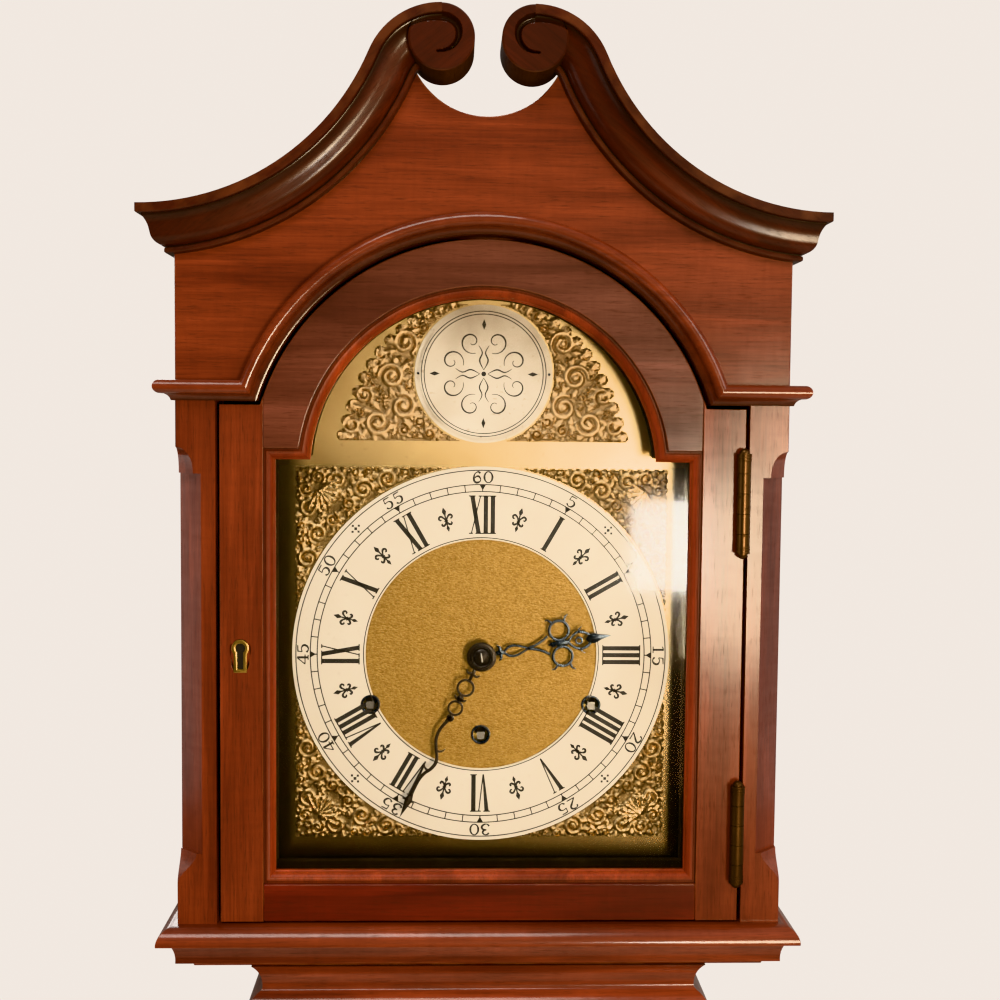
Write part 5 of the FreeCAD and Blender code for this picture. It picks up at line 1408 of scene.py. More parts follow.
@dataclass
class SwanNeck:
    """The swan-neck pediment: two mouldings that rise, roll over and end in carved scrolls."""

    joinery: Joinery
    hood_half: float = 182.0
    front: float = -98.25
    back: float = 116.75
    cornice_top: float = 1668.0
    projection: float = 18.5
    hollow_radius: float = 144.0
    shoulder_radius: float = 45.0
    turn: float = 66.9
    scroll_radius: float = 19.0
    scroll_depth: float = 36.0
    groove_depth: float = 4.2
    face_sunk: float = 0.06
    face_edge: float = 0.9
    rim_depth: float = 1.4
    # How dark the painted shade in the scroll's carved groove is.
    painted_shade: float = 0.85
    groove_halves: tuple[float, ...] = (2.7, 2.9, 2.9, 2.6, 2.3, 1.9, 1.4, 1.0, 0.6)
    groove: Outline = ((-19.2, 7.6), (-14.2, 9.9), (-8.4, 11.2), (-2.4, 11.5), (3.6, 10.5), (8.0, 7.6),
                       (9.8, 3.2), (9.0, -1.6), (6.2, -5.4), (2.2, -7.6), (-2.4, -8.2))
    ogee: Outline = ((15.3, 6.6), (13.6, 9.2), (12.4, 12.0), (11.7, 15.0), (11.0, 18.0), (9.4, 20.6),
                     (7.2, 22.3), (4.8, 23.3))
    # Painted shade in the hollow under the ogee's top, fading over the band below.
    ogee_painted_shade: float = 0.75
    ogee_hollow: Point = (6.6, 4.5)

    def profile(self) -> list[tuple[float, float, float]]:
        """Returns the moulding's section: steps out from the board and down from the top, with wear above
        zero and painted shade below.
        """
        lip = [(0.0, 0.0, 0.0), (self.projection, 0.0, 0.5), (self.projection, 4.9, 0.4),
               (self.projection - 0.5, 5.4, 0.0)]
        soffit = [(15.5, 5.9, -0.9)]
        top, reach = self.ogee_hollow
        swell = [(out, down, -self.ogee_painted_shade * max(0.0, 1 - (down - top) / reach))
                 for out, down in smooth_path(self.ogee, 3)]
        quirk = [(3.2, 23.6, -0.9), (3.2, 24.1, -0.8)]
        fillet = [(4.4, 24.4, 0.3), (4.7, 25.0, 0.3), (4.7, 26.6, 0.2), (4.2, 27.2, 0.0), (3.0, 27.5, -0.4)]
        return [*lip, *soffit, *swell, *quirk, *fillet, (0.0, 28.0, -0.6)]

    def path(self) -> tuple[Point, Point, Point]:
        """Returns the centres of the hollow and the shoulder, and the end of the top edge."""
        start = -(self.hood_half + self.projection)
        turn = math.radians(self.turn)
        hollow = (start, self.cornice_top + self.hollow_radius)
        reach = self.hollow_radius + self.shoulder_radius
        end_x = start + reach * math.sin(turn)
        end_z = self.cornice_top + reach * (1 - math.cos(turn))
        return hollow, (end_x, end_z - self.shoulder_radius), (end_x, end_z)

    def neck(self, shape: Shape) -> None:
        """Adds the left moulding, from the back of its side return to the scroll.

        Args:
            shape: the mesh that it goes into.
        """
        hollow, shoulder, _ = self.path()
        turn = math.radians(self.turn)
        section = self.profile()
        starts = []
        rings = [[], []]
        for out, down, _ in section:
            reach = self.hollow_radius + down
            starts.append(math.asin((self.projection - out) / reach))
            z = hollow[1] - reach * math.cos(starts[-1])
            rings[0].append((-self.hood_half - out, self.back, self.cornice_top - down))
            rings[1].append((-self.hood_half - out, self.front - out, z))

        def spot(centre: Point, reach: float, angle: float, out: float) -> Place:
            """Returns a point of the section, swung about a centre."""
            return centre[0] + reach * math.sin(angle), self.front - out, centre[1] - reach * math.cos(angle)

        for t in np.linspace(0, 1, 29)[1:]:
            rings.append([spot(hollow, self.hollow_radius + down, first + (turn - first) * t, out)
                          for (out, down, _), first in zip(section, starts)])
        for angle in np.linspace(turn, 0, 15)[1:]:
            rings.append([spot(shoulder, down - self.shoulder_radius, angle, out)
                          for out, down, _ in section])
        worn = shape.verts.layers.float["worn"]
        # The third number marks wear above zero and painted shade below zero.
        faces = skin(shape, [[marked(shape, worn, place, wear) for place, (_, _, wear) in zip(ring, section)]
                             for ring in rings])
        for face in (*faces[:len(section)], faces[-2]):
            face.material_index = 1

    def scroll(self, shape: Shape) -> None:
        """Adds the left scroll: a drum whose face carries the carved volute.

        Args:
            shape: the mesh that it goes into.
        """
        end = self.path()[2]
        centre = (end[0], end[1] - self.scroll_radius)
        groove = np.array(smooth_path(self.groove, 12))
        halves = np.interp(np.linspace(0, 1, len(groove)), np.linspace(0, 1, len(self.groove_halves)),
                           self.groove_halves)
        face_y = self.front - self.projection + self.face_sunk
        worn = shape.verts.layers.float["worn"]
        steps = 144
        flat = self.scroll_radius - self.face_edge
        radii = [0.4, *np.linspace(0.8, flat, 50), self.scroll_radius - 0.3, self.scroll_radius]
        verts = []
        for radius in radii:
            ring = []
            for i in range(steps):
                angle = 2 * math.pi * i / steps
                spot = np.array((radius * math.cos(angle), radius * math.sin(angle)))
                near = float(np.min(np.linalg.norm(groove - spot, axis=1) / halves))
                sunk = max(0.0, 1 - near ** 3) ** 0.8
                edge = max(0.0, radius - flat)
                place = (centre[0] + spot[0], face_y + self.groove_depth * sunk + edge, centre[1] + spot[1])
                # The rim is marked as rubbed, and the groove is darkened with painted shade.
                ring.append(marked(shape, worn, place, 0.5 * edge - self.painted_shade * sunk))
            verts.append(ring)
        for depth in (self.rim_depth, self.scroll_depth):
            level = (face_y + depth) * MM
            verts.append([shape.verts.new(Vector((v.co.x, level, v.co.z))) for v in verts[-1]])
        faces = skin(shape, verts)
        for face in faces[(len(radii) - 1) * steps:-2]:
            face.material_index = 2
        faces[-1].material_index = 1

    def build(self) -> None:
        """Makes the two necks with their side returns."""
        for name, side, grain in (("left", 1, Grain.FALLING), ("right", -1, Grain.RISING)):
            shape = bmesh.new()
            shape.verts.layers.float.new("worn")
            self.neck(shape)
            self.scroll(shape)
            if side < 0:
                bmesh.ops.scale(shape, vec=(-1, 1, 1), verts=shape.verts)
            woods = [self.joinery.timber(SHADED, grain), self.joinery.timber(SHADED, Grain.DEEP),
                     self.joinery.timber(UNPOLISHED, Grain.DEEP)]
            piece = finish_mesh(f"swan_neck_{name}", closed(shape), woods)
            attach(piece, "hood", ["swan_necks"])


@dataclass
class Hood:
    """The hood that slides off the trunk: mouldings, posts, sides, roof, tympanum and pediment."""

    joinery: Joinery
    half: float = 182.0
    front: float = -98.25
    arch_centre: float = 1514.5
    arch_opening: float = 140.6
    moulding_foot: float = 1556.2
    hollow_reach: float = 6.5
    # The darkest painted shade, at the moulding's inner edge.
    hollow_painted_shade: float = 0.85

    def arch_painted_shade(self, spot: Vector) -> float:
        """Returns how much painted shade darkens the arch moulding at a point, from its inner edge outwards.
        """
        reach = math.hypot(spot.x, spot.z - self.arch_centre) - self.arch_opening
        inner = min(reach, spot.z - self.moulding_foot)
        return self.hollow_painted_shade * max(0.0, 1 - max(0.0, inner) / self.hollow_reach)

    def build(self) -> None:
        """Dresses the hood's boards and mouldings and makes its carved pieces."""
        self.joinery.moulding("hood_base_moulding", "hood", self.half, self.front)
        self.joinery.moulding("arch_moulding", "hood", self.half, self.front, self.arch_painted_shade)
        boards = (("hood_sides", Grain.UPRIGHT), ("hood_roof", Grain.ACROSS), ("tympanum", Grain.ACROSS))
        for node, grain in boards:
            self.joinery.board(node, "hood", MAHOGANY, "mahogany", grain)
        # The dial mask is near black: painted shade for the dark gap round the dial.
        self.joinery.board("dial_mask", "hood", EBONISED_AS_SHADE, "mahogany", Grain.UPRIGHT)
        Posts(self.joinery).build()
        SwanNeck(self.joinery).build()


@dataclass
class HoodDoor:
    """The glazed door in front of the dial."""

    joinery: Joinery
    sight_half: float = 124.1
    sight_foot: float = 1272.7
    sight_shoulder: float = 1521.9
    sight_radius: float = 103.7
    arch_centre: float = 1514.5
    face: float = -98.25
    bead_front: float = -96.75
    bead_back: float = -89.25
    bead_width: float = 6.6
    bead_round: float = 4.6
    # How dark the painted shade is at the bead's outer edge, where it meets the frame.
    bead_painted_shade: float = 0.75

    def sight_line(self) -> list[tuple[Point, Point]]:
        """Returns the points of the sight's edge, each with its mitred direction outwards."""
        lift = math.asin((self.sight_shoulder - self.arch_centre) / self.sight_radius)
        round_way = [(math.cos(a), math.sin(a)) for a in np.linspace(lift, math.pi - lift, 49)]
        arch = [(self.sight_radius * x, self.arch_centre + self.sight_radius * z) for x, z in round_way]
        points = [(-self.sight_half, self.sight_foot), (self.sight_half, self.sight_foot),
                  (self.sight_half, self.sight_shoulder), *arch, (-self.sight_half, self.sight_shoulder)]
        up, left, right, down = (0.0, 1.0), (-1.0, 0.0), (1.0, 0.0), (0.0, -1.0)
        pairs = [(left, down), (down, right), (right, up), (up, round_way[0]),
                 *[(w, w) for w in round_way[1:-1]], (round_way[-1], up), (up, left)]
        ways = []
        for first, second in pairs:
            share = 1 + first[0] * second[0] + first[1] * second[1]
            ways.append(((first[0] + second[0]) / share, (first[1] + second[1]) / share))
        return list(zip(points, ways))

    def bead(self) -> None:
        """Makes the rounded glazing bead, mitred at its corners."""
        deep = self.bead_back - self.bead_front
        section = [(0.0, deep), (0.0, 5.2), (0.6, 4.8)]
        section += [(0.6 + self.bead_round * (1 - math.cos(a)), 4.8 - self.bead_round * math.sin(a))
                    for a in np.linspace(0.15, 1.5, 9)]
        section += [(5.4, 0.9), (self.bead_width, 0.9), (self.bead_width, deep)]
        shape = bmesh.new()
        worn = shape.verts.layers.float.new("worn")
        rings = []
        for (x, z), (way_x, way_z) in self.sight_line():
            # The bead darkens towards its outer edge with painted shade.
            rings.append([marked(shape, worn, (x + way_x * out, self.bead_front + depth, z + way_z * out),
                                 -self.bead_painted_shade * (out / self.bead_width) ** 2) for out, depth in section])
        skin(shape, rings, True)
        wood = self.joinery.timber(BEADED, Grain.UPRIGHT)
        piece = finish_mesh("glazing_bead_moulded", closed(shape), [wood])
        attach(piece, "hood_door", ["glazing_bead"])

    def build(self) -> None:
        """Dresses the door's frame and makes its bead."""
        stiles = self.joinery.board("door_stiles", "hood_door", MAHOGANY, "mahogany", Grain.UPRIGHT)
        self.joinery.board("door_bottom_rail", "hood_door", RUSSET, "mahogany", Grain.ACROSS)
        self.joinery.board("door_arch_rail", "hood_door", PLUM, "mahogany", Grain.ACROSS)
        self.bead()
        Keyhole("door_escutcheon", "hood_door", self.face).build(self.joinery.effects, stiles)


@dataclass
class Numerals:
    """Roman hours, drawn with thick and thin strokes between two radii."""

    inner: float = 75.6
    outer: float = 99.6
    bar: float = 2.85
    thin: float = 0.82
    serif: float = 0.75

    def glyph(self, letter: str) -> tuple[float, list[list[Point]]]:
        """Draws a letter from the inner radius up.

        Args:
            letter: I, V or X.

        Returns:
            Its width and its strokes.
        """
        high = self.outer - self.inner
        bar, thin, serif = self.bar, self.thin, self.serif

        def flat(left: float, right: float, top: bool) -> list[Point]:
            """Returns a serif at the head or the foot."""
            level = (high - thin, high) if top else (0.0, thin)
            return [(left, level[0]), (right, level[0]), (right, level[1]), (left, level[1])]

        if letter == "I":
            width = bar + 2 * serif
            stem = [(serif, 0.0), (serif + bar, 0.0), (serif + bar, high), (serif, high)]
            return width, [stem, flat(0, width, True), flat(0, width, False)]
        if letter == "V":
            thick = [(serif, high), (serif + bar, high), (5.0, 0.0), (4.0, 0.0)]
            hair = [(6.8, high), (6.8 + thin, high), (5.0, 0.0), (5.0 - thin, 0.0)]
            return 8.4, [thick, hair, flat(0, 2 * serif + bar, True), flat(5.8, 8.4, True)]
        thick = [(serif, high), (serif + bar, high), (7.8, 0.0), (7.8 - bar, 0.0)]
        hair = [(7.0, high), (7.0 + thin, high), (1.3 + thin, 0.0), (1.3, 0.0)]
        ends = [flat(0, 2 * serif + bar, True), flat(6.0, 8.4, True), flat(0.2, 2.8, False),
                flat(7.8 - bar - serif, 7.8 + serif, False)]
        return 8.5, [thick, hair, *ends]

    def draw(self, sheet: Sheet, hour: int, word: str) -> None:
        """Adds one hour's numeral to the dial's marks.

        Args:
            sheet: the marks.
            hour: the hour that it stands at.
            word: its letters.
        """
        drawn = [self.glyph(letter) for letter in word]
        left = -sum(width for width, _ in drawn) / 2
        sheet.turn = math.radians(30 * hour)
        for width, strokes in drawn:
            for stroke in strokes:
                sheet.fill([(left + u, self.inner + v) for u, v in stroke])
            left += width


@dataclass
class Figures:
    """Arabic figures with thick and thin strokes, each drawn in a box one unit high."""

    height: float = 7.0
    stretch: float = 1.62
    gap: float = 0.12
    thick: float = 0.2
    thin: float = 0.1

    def strokes(self, figure: str) -> list[tuple[Outline, tuple[float, ...]]]:
        """Draws a figure.

        Args:
            figure: the figure.

        Returns:
            Its strokes, each a path with its widths.
        """
        thick, thin = self.thick, self.thin
        drawn = {
            "0": [(spiral((0.27, 0.5), (0.22, 0.22), (90, 450), 33), (thin, thick, thin, thick, thin))],
            "1": [([(0.27, 0.0), (0.27, 1.0)], (thick, thick)), ([(0.08, 0.03), (0.46, 0.03)], (thin, thin)),
                  ([(0.24, 0.97), (0.08, 0.84)], (thin, thin))],
            "2": [(smooth_path([(0.08, 0.74), (0.12, 0.92), (0.28, 0.98), (0.44, 0.88), (0.44, 0.68),
                                (0.28, 0.4), (0.06, 0.05)]), (thick, thin, thick, thick, thin)),
                  ([(0.04, 0.06), (0.52, 0.06)], (0.1, 0.12))],
            "3": [(smooth_path([(0.08, 0.8), (0.16, 0.95), (0.32, 0.96), (0.42, 0.78), (0.34, 0.58),
                                (0.2, 0.54)]), (thick, thin, thick, thin)),
                  (smooth_path([(0.2, 0.54), (0.4, 0.48), (0.47, 0.26), (0.34, 0.04), (0.16, 0.03),
                                (0.06, 0.2)]), (thin, thick, thick, thin, thick))],
            "4": [([(0.38, 1.0), (0.03, 0.3)], (thin, thin)), ([(0.02, 0.3), (0.56, 0.3)], (thin, thin)),
                  ([(0.4, 0.0), (0.4, 1.0)], (thick, thick)), ([(0.26, 0.03), (0.54, 0.03)], (thin, thin))],
            "5": [([(0.12, 0.93), (0.46, 0.95)], (0.13, 0.1)), ([(0.13, 0.97), (0.1, 0.54)], (thin, thin)),
                  (smooth_path([(0.1, 0.54), (0.26, 0.62), (0.42, 0.52), (0.46, 0.3), (0.36, 0.06),
                                (0.2, 0.02), (0.07, 0.18)]), (thin, thin, thick, thick, thin, thick))],
            "6": [(smooth_path([(0.45, 0.84), (0.32, 0.97), (0.15, 0.8), (0.08, 0.42), (0.14, 0.1),
                                (0.28, 0.02), (0.42, 0.12), (0.46, 0.32), (0.38, 0.54), (0.25, 0.57),
                                (0.1, 0.38)]),
                   (thick, thin, thick, thick, thin, thick, thin))],
        }
        return drawn[figure]

    def draw(self, sheet: Sheet, number: str, radius: float) -> None:
        """Adds a number in the turn that the sheet has.

        Args:
            sheet: the marks.
            number: its figures.
            radius: where its foot stands.
        """
        pitch = 0.54 * self.stretch + self.gap
        left = -(pitch * len(number) - self.gap) / 2
        for place, figure in enumerate(number):
            for path, widths in self.strokes(figure):
                tall = 2.2 if figure == "0" else 1.0
                spots = [((left + place * pitch + x * self.stretch) * self.height,
                          radius + (0.5 + (z - 0.5) * tall) * self.height) for x, z in path]
                sheet.strip(spots, [w * self.height for w in widths])


@dataclass
class Dial:
    """The break-arch dial: ring, marks, ornament and boss."""

    effects: Effects
    nodes: dict[str, Piece]
    centre_z: float = 1400.0
    ring_front: float = -63.75
    plate_front: float = -62.25
    boss_z: float = 1574.5
    boss_front: float = -65.25
    boss_pin: Outline = ((0.8, 0.3), (0.8, -0.2), (0.4, -0.45))
    mark_height: float = 0.06
    mark_depth: float = 0.1
    hours: tuple[str, ...] = ("XII", "I", "II", "III", "IIII", "V", "VI", "VII", "VIII", "IX", "X", "XI")
    minute_radius: float = 107.4
    circles: Outline = ((115.2, 0.72), (106.3, 0.72), (102.0, 0.72), (73.3, 0.7))
    boss_circles: Outline = ((38.4, 0.6), (36.6, 0.6))
    hole_shade_radii: Point = (4.6, 6.15)

    def marks_sheet(self, front: float, centre_z: float) -> Sheet:
        """Returns a sheet for marks that lie in a face of the dial, about a centre."""
        return Sheet(front - self.mark_height, front + self.mark_depth, (0.0, centre_z))

    def lines_and_hours(self, wax: Material) -> None:
        """Engraves the circles and the Roman hours.

        Args:
            wax: the marks' finish.
        """
        sheet = self.marks_sheet(self.ring_front, self.centre_z)
        for radius, width in self.circles:
            sheet.ring((0.0, 0.0), radius - width / 2, radius + width / 2, 160)
        numerals = Numerals()
        for hour, word in enumerate(self.hours):
            numerals.draw(sheet, hour, word)
        attach(sheet.piece("hour_marks", wax), "case")

    def repeated(self, name: str, wax: Material, tree: Tree, count: int, first: float,
                 draw: Callable[[Sheet], None]) -> None:
        """Repeats one mark round the ring.

        Args:
            name: the piece's name.
            wax: the marks' finish.
            tree: the Geometry Nodes tree that repeats it.
            count: how many there are.
            first: the first one's angle past twelve, in degrees.
            draw: draws the mark as it stands at twelve.
        """
        sheet = self.marks_sheet(self.ring_front, 0.0)
        draw(sheet)
        piece = sheet.piece(name, wax)
        repeat(piece, tree, {"Count": count, "First Angle": math.radians(first),
                             "Centre Height": self.centre_z * MM, "Material": wax})
        attach(piece, "case")

    @staticmethod
    def minute_bar(sheet: Sheet) -> None:
        """Draws a minute's bar across the track."""
        sheet.fill([(-0.35, 102.0), (0.35, 102.0), (0.35, 106.2), (-0.35, 106.2)])

    @staticmethod
    def five_minute_point(sheet: Sheet) -> None:
        """Draws the point that marks five minutes."""
        sheet.fill([(-2.1, 106.3), (0.0, 102.6), (2.1, 106.3)])

    @staticmethod
    def dot_cross(sheet: Sheet) -> None:
        """Draws the four-dot cross halfway between the quarters."""
        sheet.disc((0.0, 110.8), 1.3, 4)
        for x, z in ((0.0, 2.5), (0.0, -2.5), (2.7, 0.0), (-2.7, 0.0)):
            sheet.disc((x, 110.8 + z), 1.0, 4)

    @staticmethod
    def lily(sheet: Sheet) -> None:
        """Draws the lily that marks a half hour.

        Args:
            sheet: the marks.
        """
        middle = 87.2
        spear = [(0.0, 8.2), (1.45, 5.2), (0.5, 3.0), (0.42, -3.8), (1.15, -5.4), (0.0, -8.0),
                 (-1.15, -5.4), (-0.42, -3.8), (-0.5, 3.0), (-1.45, 5.2)]
        sheet.fill([(x, middle + z) for x, z in spear])
        for side in (-1, 1):
            upper = [(0.2, -0.6), (1.4, 1.6), (3.0, 2.7), (4.2, 1.7), (3.6, 0.4), (2.7, 0.7)]
            lower = [(0.2, -0.8), (1.0, -2.6), (2.4, -3.4), (3.2, -2.5), (2.5, -1.8)]
            for curl in (upper, lower):
                sheet.curve([(x, middle + z) for x, z in curl], (0.7, 1.5, 1.3, 0.8), side=side)
        sheet.fill([(-1.5, middle - 0.4), (1.3, middle - 0.4), (1.3, middle - 1.1), (-1.3, middle - 1.1)])

    def minute_figures(self, wax: Material) -> None:
        """Draws the Arabic minutes round the edge.

        Args:
            wax: the marks' finish.
        """
        sheet = self.marks_sheet(self.ring_front, self.centre_z)
        figures = Figures()
        for step in range(1, 13):
            sheet.turn = math.radians(30 * step)
            figures.draw(sheet, str(5 * step), self.minute_radius)
        attach(sheet.piece("minute_figures", wax), "case")

    def boss(self, wax: Material) -> None:
        """Engraves the boss in the arch with two circles and a plain flourish.

        Args:
            wax: the marks' finish.
        """
        sheet = self.marks_sheet(self.boss_front, self.boss_z)
        for radius, width in self.boss_circles:
            sheet.ring((0.0, 0.0), radius - width / 2, radius + width / 2, 96)
        for quarter in range(4):
            sheet.turn = math.radians(90 * quarter)
            for side in (-1, 1):
                curl = [(side * x, z) for x, z in spiral((7.6, 19.6), (1.2, 7.4), (-60, -470), 44)]
                sheet.strip(curl, (0.4, 0.7, 1.1, 0.4))
                sheet.curve([(0.0, 2.4), (2.6, 8.0), (1.0, 13.0), (3.2, 17.4)], (0.3, 1.0, 0.8, 0.3), 6, side)
            sheet.fill([(0.0, 33.5), (1.3, 30.2), (0.0, 26.9), (-1.3, 30.2)])
        sheet.turn = 0.0
        sheet.disc((0.0, 0.0), 1.5)
        attach(sheet.piece("boss_flourish", wax), "case")
        pins = bmesh.new()
        for side in (-1, 1):
            turned(pins, (side * 40.3, self.boss_front, self.boss_z), self.boss_pin, steps=16)
        attach(finish_mesh("boss_pins", closed(pins), [BLUED.material(self.effects)]), "case")

    def hole_shade_rings(self, blackened: Material) -> None:
        """Makes dark rings in the winding holes, painted shade for the dark inside the holes.

        Args:
            blackened: their finish.
        """
        # Dark rings of painted shade, one in each winding hole.
        sheet = Sheet(self.plate_front - 0.9, self.plate_front + 1.7)
        for winder in ("going_winder", "strike_winder", "chime_winder"):
            sheet.ring(front_middle(winder), *self.hole_shade_radii, 40)
        attach(sheet.piece("winding_hole_shade", blackened, 0.25), "case")

    def build(self) -> None:
        """Dresses the dial's plates and makes its marks and ornament."""
        silver = SILVERED.material(self.effects)
        wax = WAX.material(self.effects)
        dress(self.nodes, {"dial_plate": DialPlateFinish(self.centre_z).material(self.effects),
                           "chapter_ring": silver, "arch_boss": AGED_SILVER.material(self.effects)})
        self.lines_and_hours(wax)
        kinds = {"Count": "Int", "First Angle": "Float", "Centre Height": "Float"}
        tree = repeat_tree("round_the_dial", kinds, round_the_dial)
        self.repeated("minute_bars", wax, tree, 60, 0.0, self.minute_bar)
        self.repeated("five_minute_points", wax, tree, 12, 0.0, self.five_minute_point)
        self.repeated("half_hour_lilies", wax, tree, 12, 15.0, self.lily)
        self.repeated("dot_crosses", wax, tree, 4, 45.0, self.dot_cross)
        self.minute_figures(wax)
        self.boss(wax)
        self.hole_shade_rings(BLUED.material(self.effects))
        Ornament(self.effects).build()


@dataclass
class Stroke:
    """One ridge of cast ornament: a path with its widths and its height."""

    path: np.ndarray
    widths: tuple[float, ...]
    height: float


@dataclass
class Ornament:
    """Cast scrollwork in the corners of the dial and beside the boss, worked as a relief."""

    effects: Effects
    plate_front: float = -62.25
    relief: float = 2.2
    ground: float = 0.16
    grid: float = 0.72
    dial_centre: float = 1400.0
    ring_radius: float = 118.0
    corner_half: float = 116.2
    corner_low: float = 1283.6
    corner_high: float = 1517.2
    corner_reach: float = 98.0
    corner_sizes: Outline = ((7.6, 700), (5.4, 1200), (3.8, 1800), (2.7, 2600), (1.9, 3600), (1.4, 5000),
                             (1.0, 6000))
    scallop: Point = (5.4, 1.3)
    shell_rib: Point = (15.0, 11.0)
    arch_low: Point = (8.0, 1533.0)
    arch_high: Point = (92.0, 1624.0)
    arch_edge: Outline = ((86.0, 1536.0), (83.4, 1545.0), (80.4, 1554.0), (76.8, 1563.0), (73.0, 1571.5),
                          (68.4, 1579.6), (63.0, 1587.2), (57.0, 1594.2), (50.4, 1600.6), (43.2, 1606.2),
                          (35.6, 1611.0), (27.6, 1614.8), (20.0, 1617.4))
    arch_sizes: Outline = ((9.6, 500), (7.0, 900), (5.0, 1400), (3.6, 2000), (2.6, 3000), (1.8, 4000),
                           (1.2, 5000))
    lobe: float = 4.4
    boss_z: float = 1574.5
    boss_radius: float = 43.2

    @staticmethod
    def curl(centre: Point, radius: float, start: float, hand: int) -> list[Stroke]:
        """Makes one leafy scroll.

        Args:
            centre: the middle of its eye.
            radius: its outer radius.
            start: the angle that it starts at, in radians.
            hand: 1 where it winds to the left, -1 to the right.

        Returns:
            Its stem, the bead in its eye and the lobes round its back.
        """
        t = np.linspace(0, 1, 40)
        angle = start + hand * 2 * math.pi * 1.45 * t
        reach = radius * (0.84 - 0.6 * t)
        path = np.column_stack((centre[0] + reach * np.cos(angle), centre[1] + reach * np.sin(angle)))
        strokes = [Stroke(path, (radius * 0.26, radius * 0.38, radius * 0.3, radius * 0.24), 1.0)]
        eye = np.array([centre, centre], float)
        strokes.append(Stroke(eye, (radius * 0.5, radius * 0.5), 1.1))
        lobes = 7 if radius > 3 else 4
        for index in range(lobes):
            way = start + hand * (0.5 + index * 0.72)
            lean = way - hand * 0.75
            steps = np.linspace(0, radius * 0.5, 7)
            back = radius * 0.86
            root = np.array((centre[0] + back * math.cos(way), centre[1] + back * math.sin(way)))
            leaf = root + steps[:, None] * np.array((math.cos(lean), math.sin(lean)))
            strokes.append(Stroke(leaf, (radius * 0.24, radius * 0.44, radius * 0.12), 0.72))
        return strokes

    @staticmethod
    def packed(allowed: Callable[[np.ndarray], np.ndarray], low: Point, high: Point, sizes: Outline,
               seed: int) -> list[Stroke]:
        """Fills a region with scrolls, the large ones first.

        Args:
            allowed: says which spots lie in the region.
            low: the region's lowest corner.
            high: its highest corner.
            sizes: the scrolls' radii, each with how often a place is tried for it.
            seed: fixes where the scrolls fall.

        Returns:
            The strokes of all the scrolls.
        """
        chance = np.random.default_rng(seed)
        rim = np.array([(math.cos(a), math.sin(a)) for a in np.linspace(0, 2 * math.pi, 9)])
        discs: list[tuple[float, float, float]] = []
        strokes: list[Stroke] = []
        for radius, tries in sizes:
            spots = chance.uniform(low, high, (tries, 2))
            fits = np.all([allowed(spots + 0.8 * radius * way) for way in rim], axis=0) & allowed(spots)
            for x, z in spots[fits]:
                if all(math.hypot(x - a, z - b) > 0.94 * (radius + c) for a, b, c in discs):
                    discs.append((x, z, radius))
                    hand = 1 if chance.random() < 0.5 else -1
                    strokes += Ornament.curl((x, z), radius, chance.uniform(0, 2 * math.pi), hand)
        return strokes

    @staticmethod
    def heights(spots: np.ndarray, strokes: Sequence[Stroke]) -> np.ndarray:
        """Works out the relief.

        Args:
            spots: the points of the grid.
            strokes: the ridges.

        Returns:
            The height at each spot, as a share.
        """
        high = np.zeros(len(spots))
        for stroke in strokes:
            half = np.interp(np.linspace(0, 1, len(stroke.path)), np.linspace(0, 1, len(stroke.widths)),
                             stroke.widths) / 2
            gap = np.linalg.norm(spots[:, None, :] - stroke.path[None, :, :], axis=2) / half[None, :]
            near = np.min(gap, axis=1)
            ridge = np.sqrt(np.clip(1 - near ** 2, 0, 1)) - 0.3 * np.exp(-(near / 0.2) ** 2)
            high = np.maximum(high, stroke.height * ridge)
        return high

    def raise_relief(self, shape: Shape, xs: np.ndarray, zs: np.ndarray, inside: np.ndarray,
                     high: np.ndarray) -> None:
        """Adds the part of a grid that the ornament covers, as a solid that stands on the plate.

        Args:
            shape: the mesh that it goes into.
            xs: the grid's places across.
            zs: its heights.
            inside: whether the ornament covers each point.
            high: the relief's share at each point.
        """
        columns = len(zs)
        crown = shape.verts.layers.float["crown"]
        verts: dict[tuple[int, int, bool], Corner] = {}

        def corner(i: int, j: int, top: bool) -> Corner:
            """Returns a grid point's vertex on the relief or on the plate, made when first asked for."""
            if (i, j, top) not in verts:
                lift = max(high[i * columns + j], self.ground) if top else 0.0
                y = self.plate_front - lift * self.relief
                verts[i, j, top] = marked(shape, crown, (xs[i], y, zs[j]), lift)
            return verts[i, j, top]

        cells = {(i, j) for i in range(len(xs) - 1) for j in range(columns - 1)
                 if all(inside[(i + a) * columns + j + b] for a in (0, 1) for b in (0, 1))}
        for i, j in cells:
            ring = ((i, j), (i + 1, j), (i + 1, j + 1), (i, j + 1))
            shape.faces.new([corner(a, b, True) for a, b in ring])
            shape.faces.new([corner(a, b, False) for a, b in reversed(ring)])
            sides = (((i, j - 1), 0, 1), ((i + 1, j), 1, 2), ((i, j + 1), 2, 3), ((i - 1, j), 3, 0))
            for neighbour, first, second in sides:
                if neighbour not in cells:
                    a, b = ring[first], ring[second]
                    wall = ((b, True), (a, True), (a, False), (b, False))
                    shape.faces.new([corner(*place, top) for place, top in wall])

    def corner_room(self, spots: np.ndarray) -> np.ndarray:
        """Says which spots, measured in from a corner along both edges, clear the chapter ring.

        Args:
            spots: the points to test.

        Returns:
            Whether each one does.
        """
        across = self.corner_half - spots[:, 0]
        up = self.corner_high - spots[:, 1] - self.dial_centre
        pitch, depth = self.scallop
        edge = depth * (1 - np.abs(np.sin(np.pi * spots[:, ::-1] / pitch)))
        within = np.all((spots >= edge) & (spots <= self.corner_reach), axis=1)
        return within & (np.hypot(across, up) > self.ring_radius)

    def corner_strokes(self) -> list[Stroke]:
        """Returns a corner's scrollwork, the same on both sides of its diagonal."""

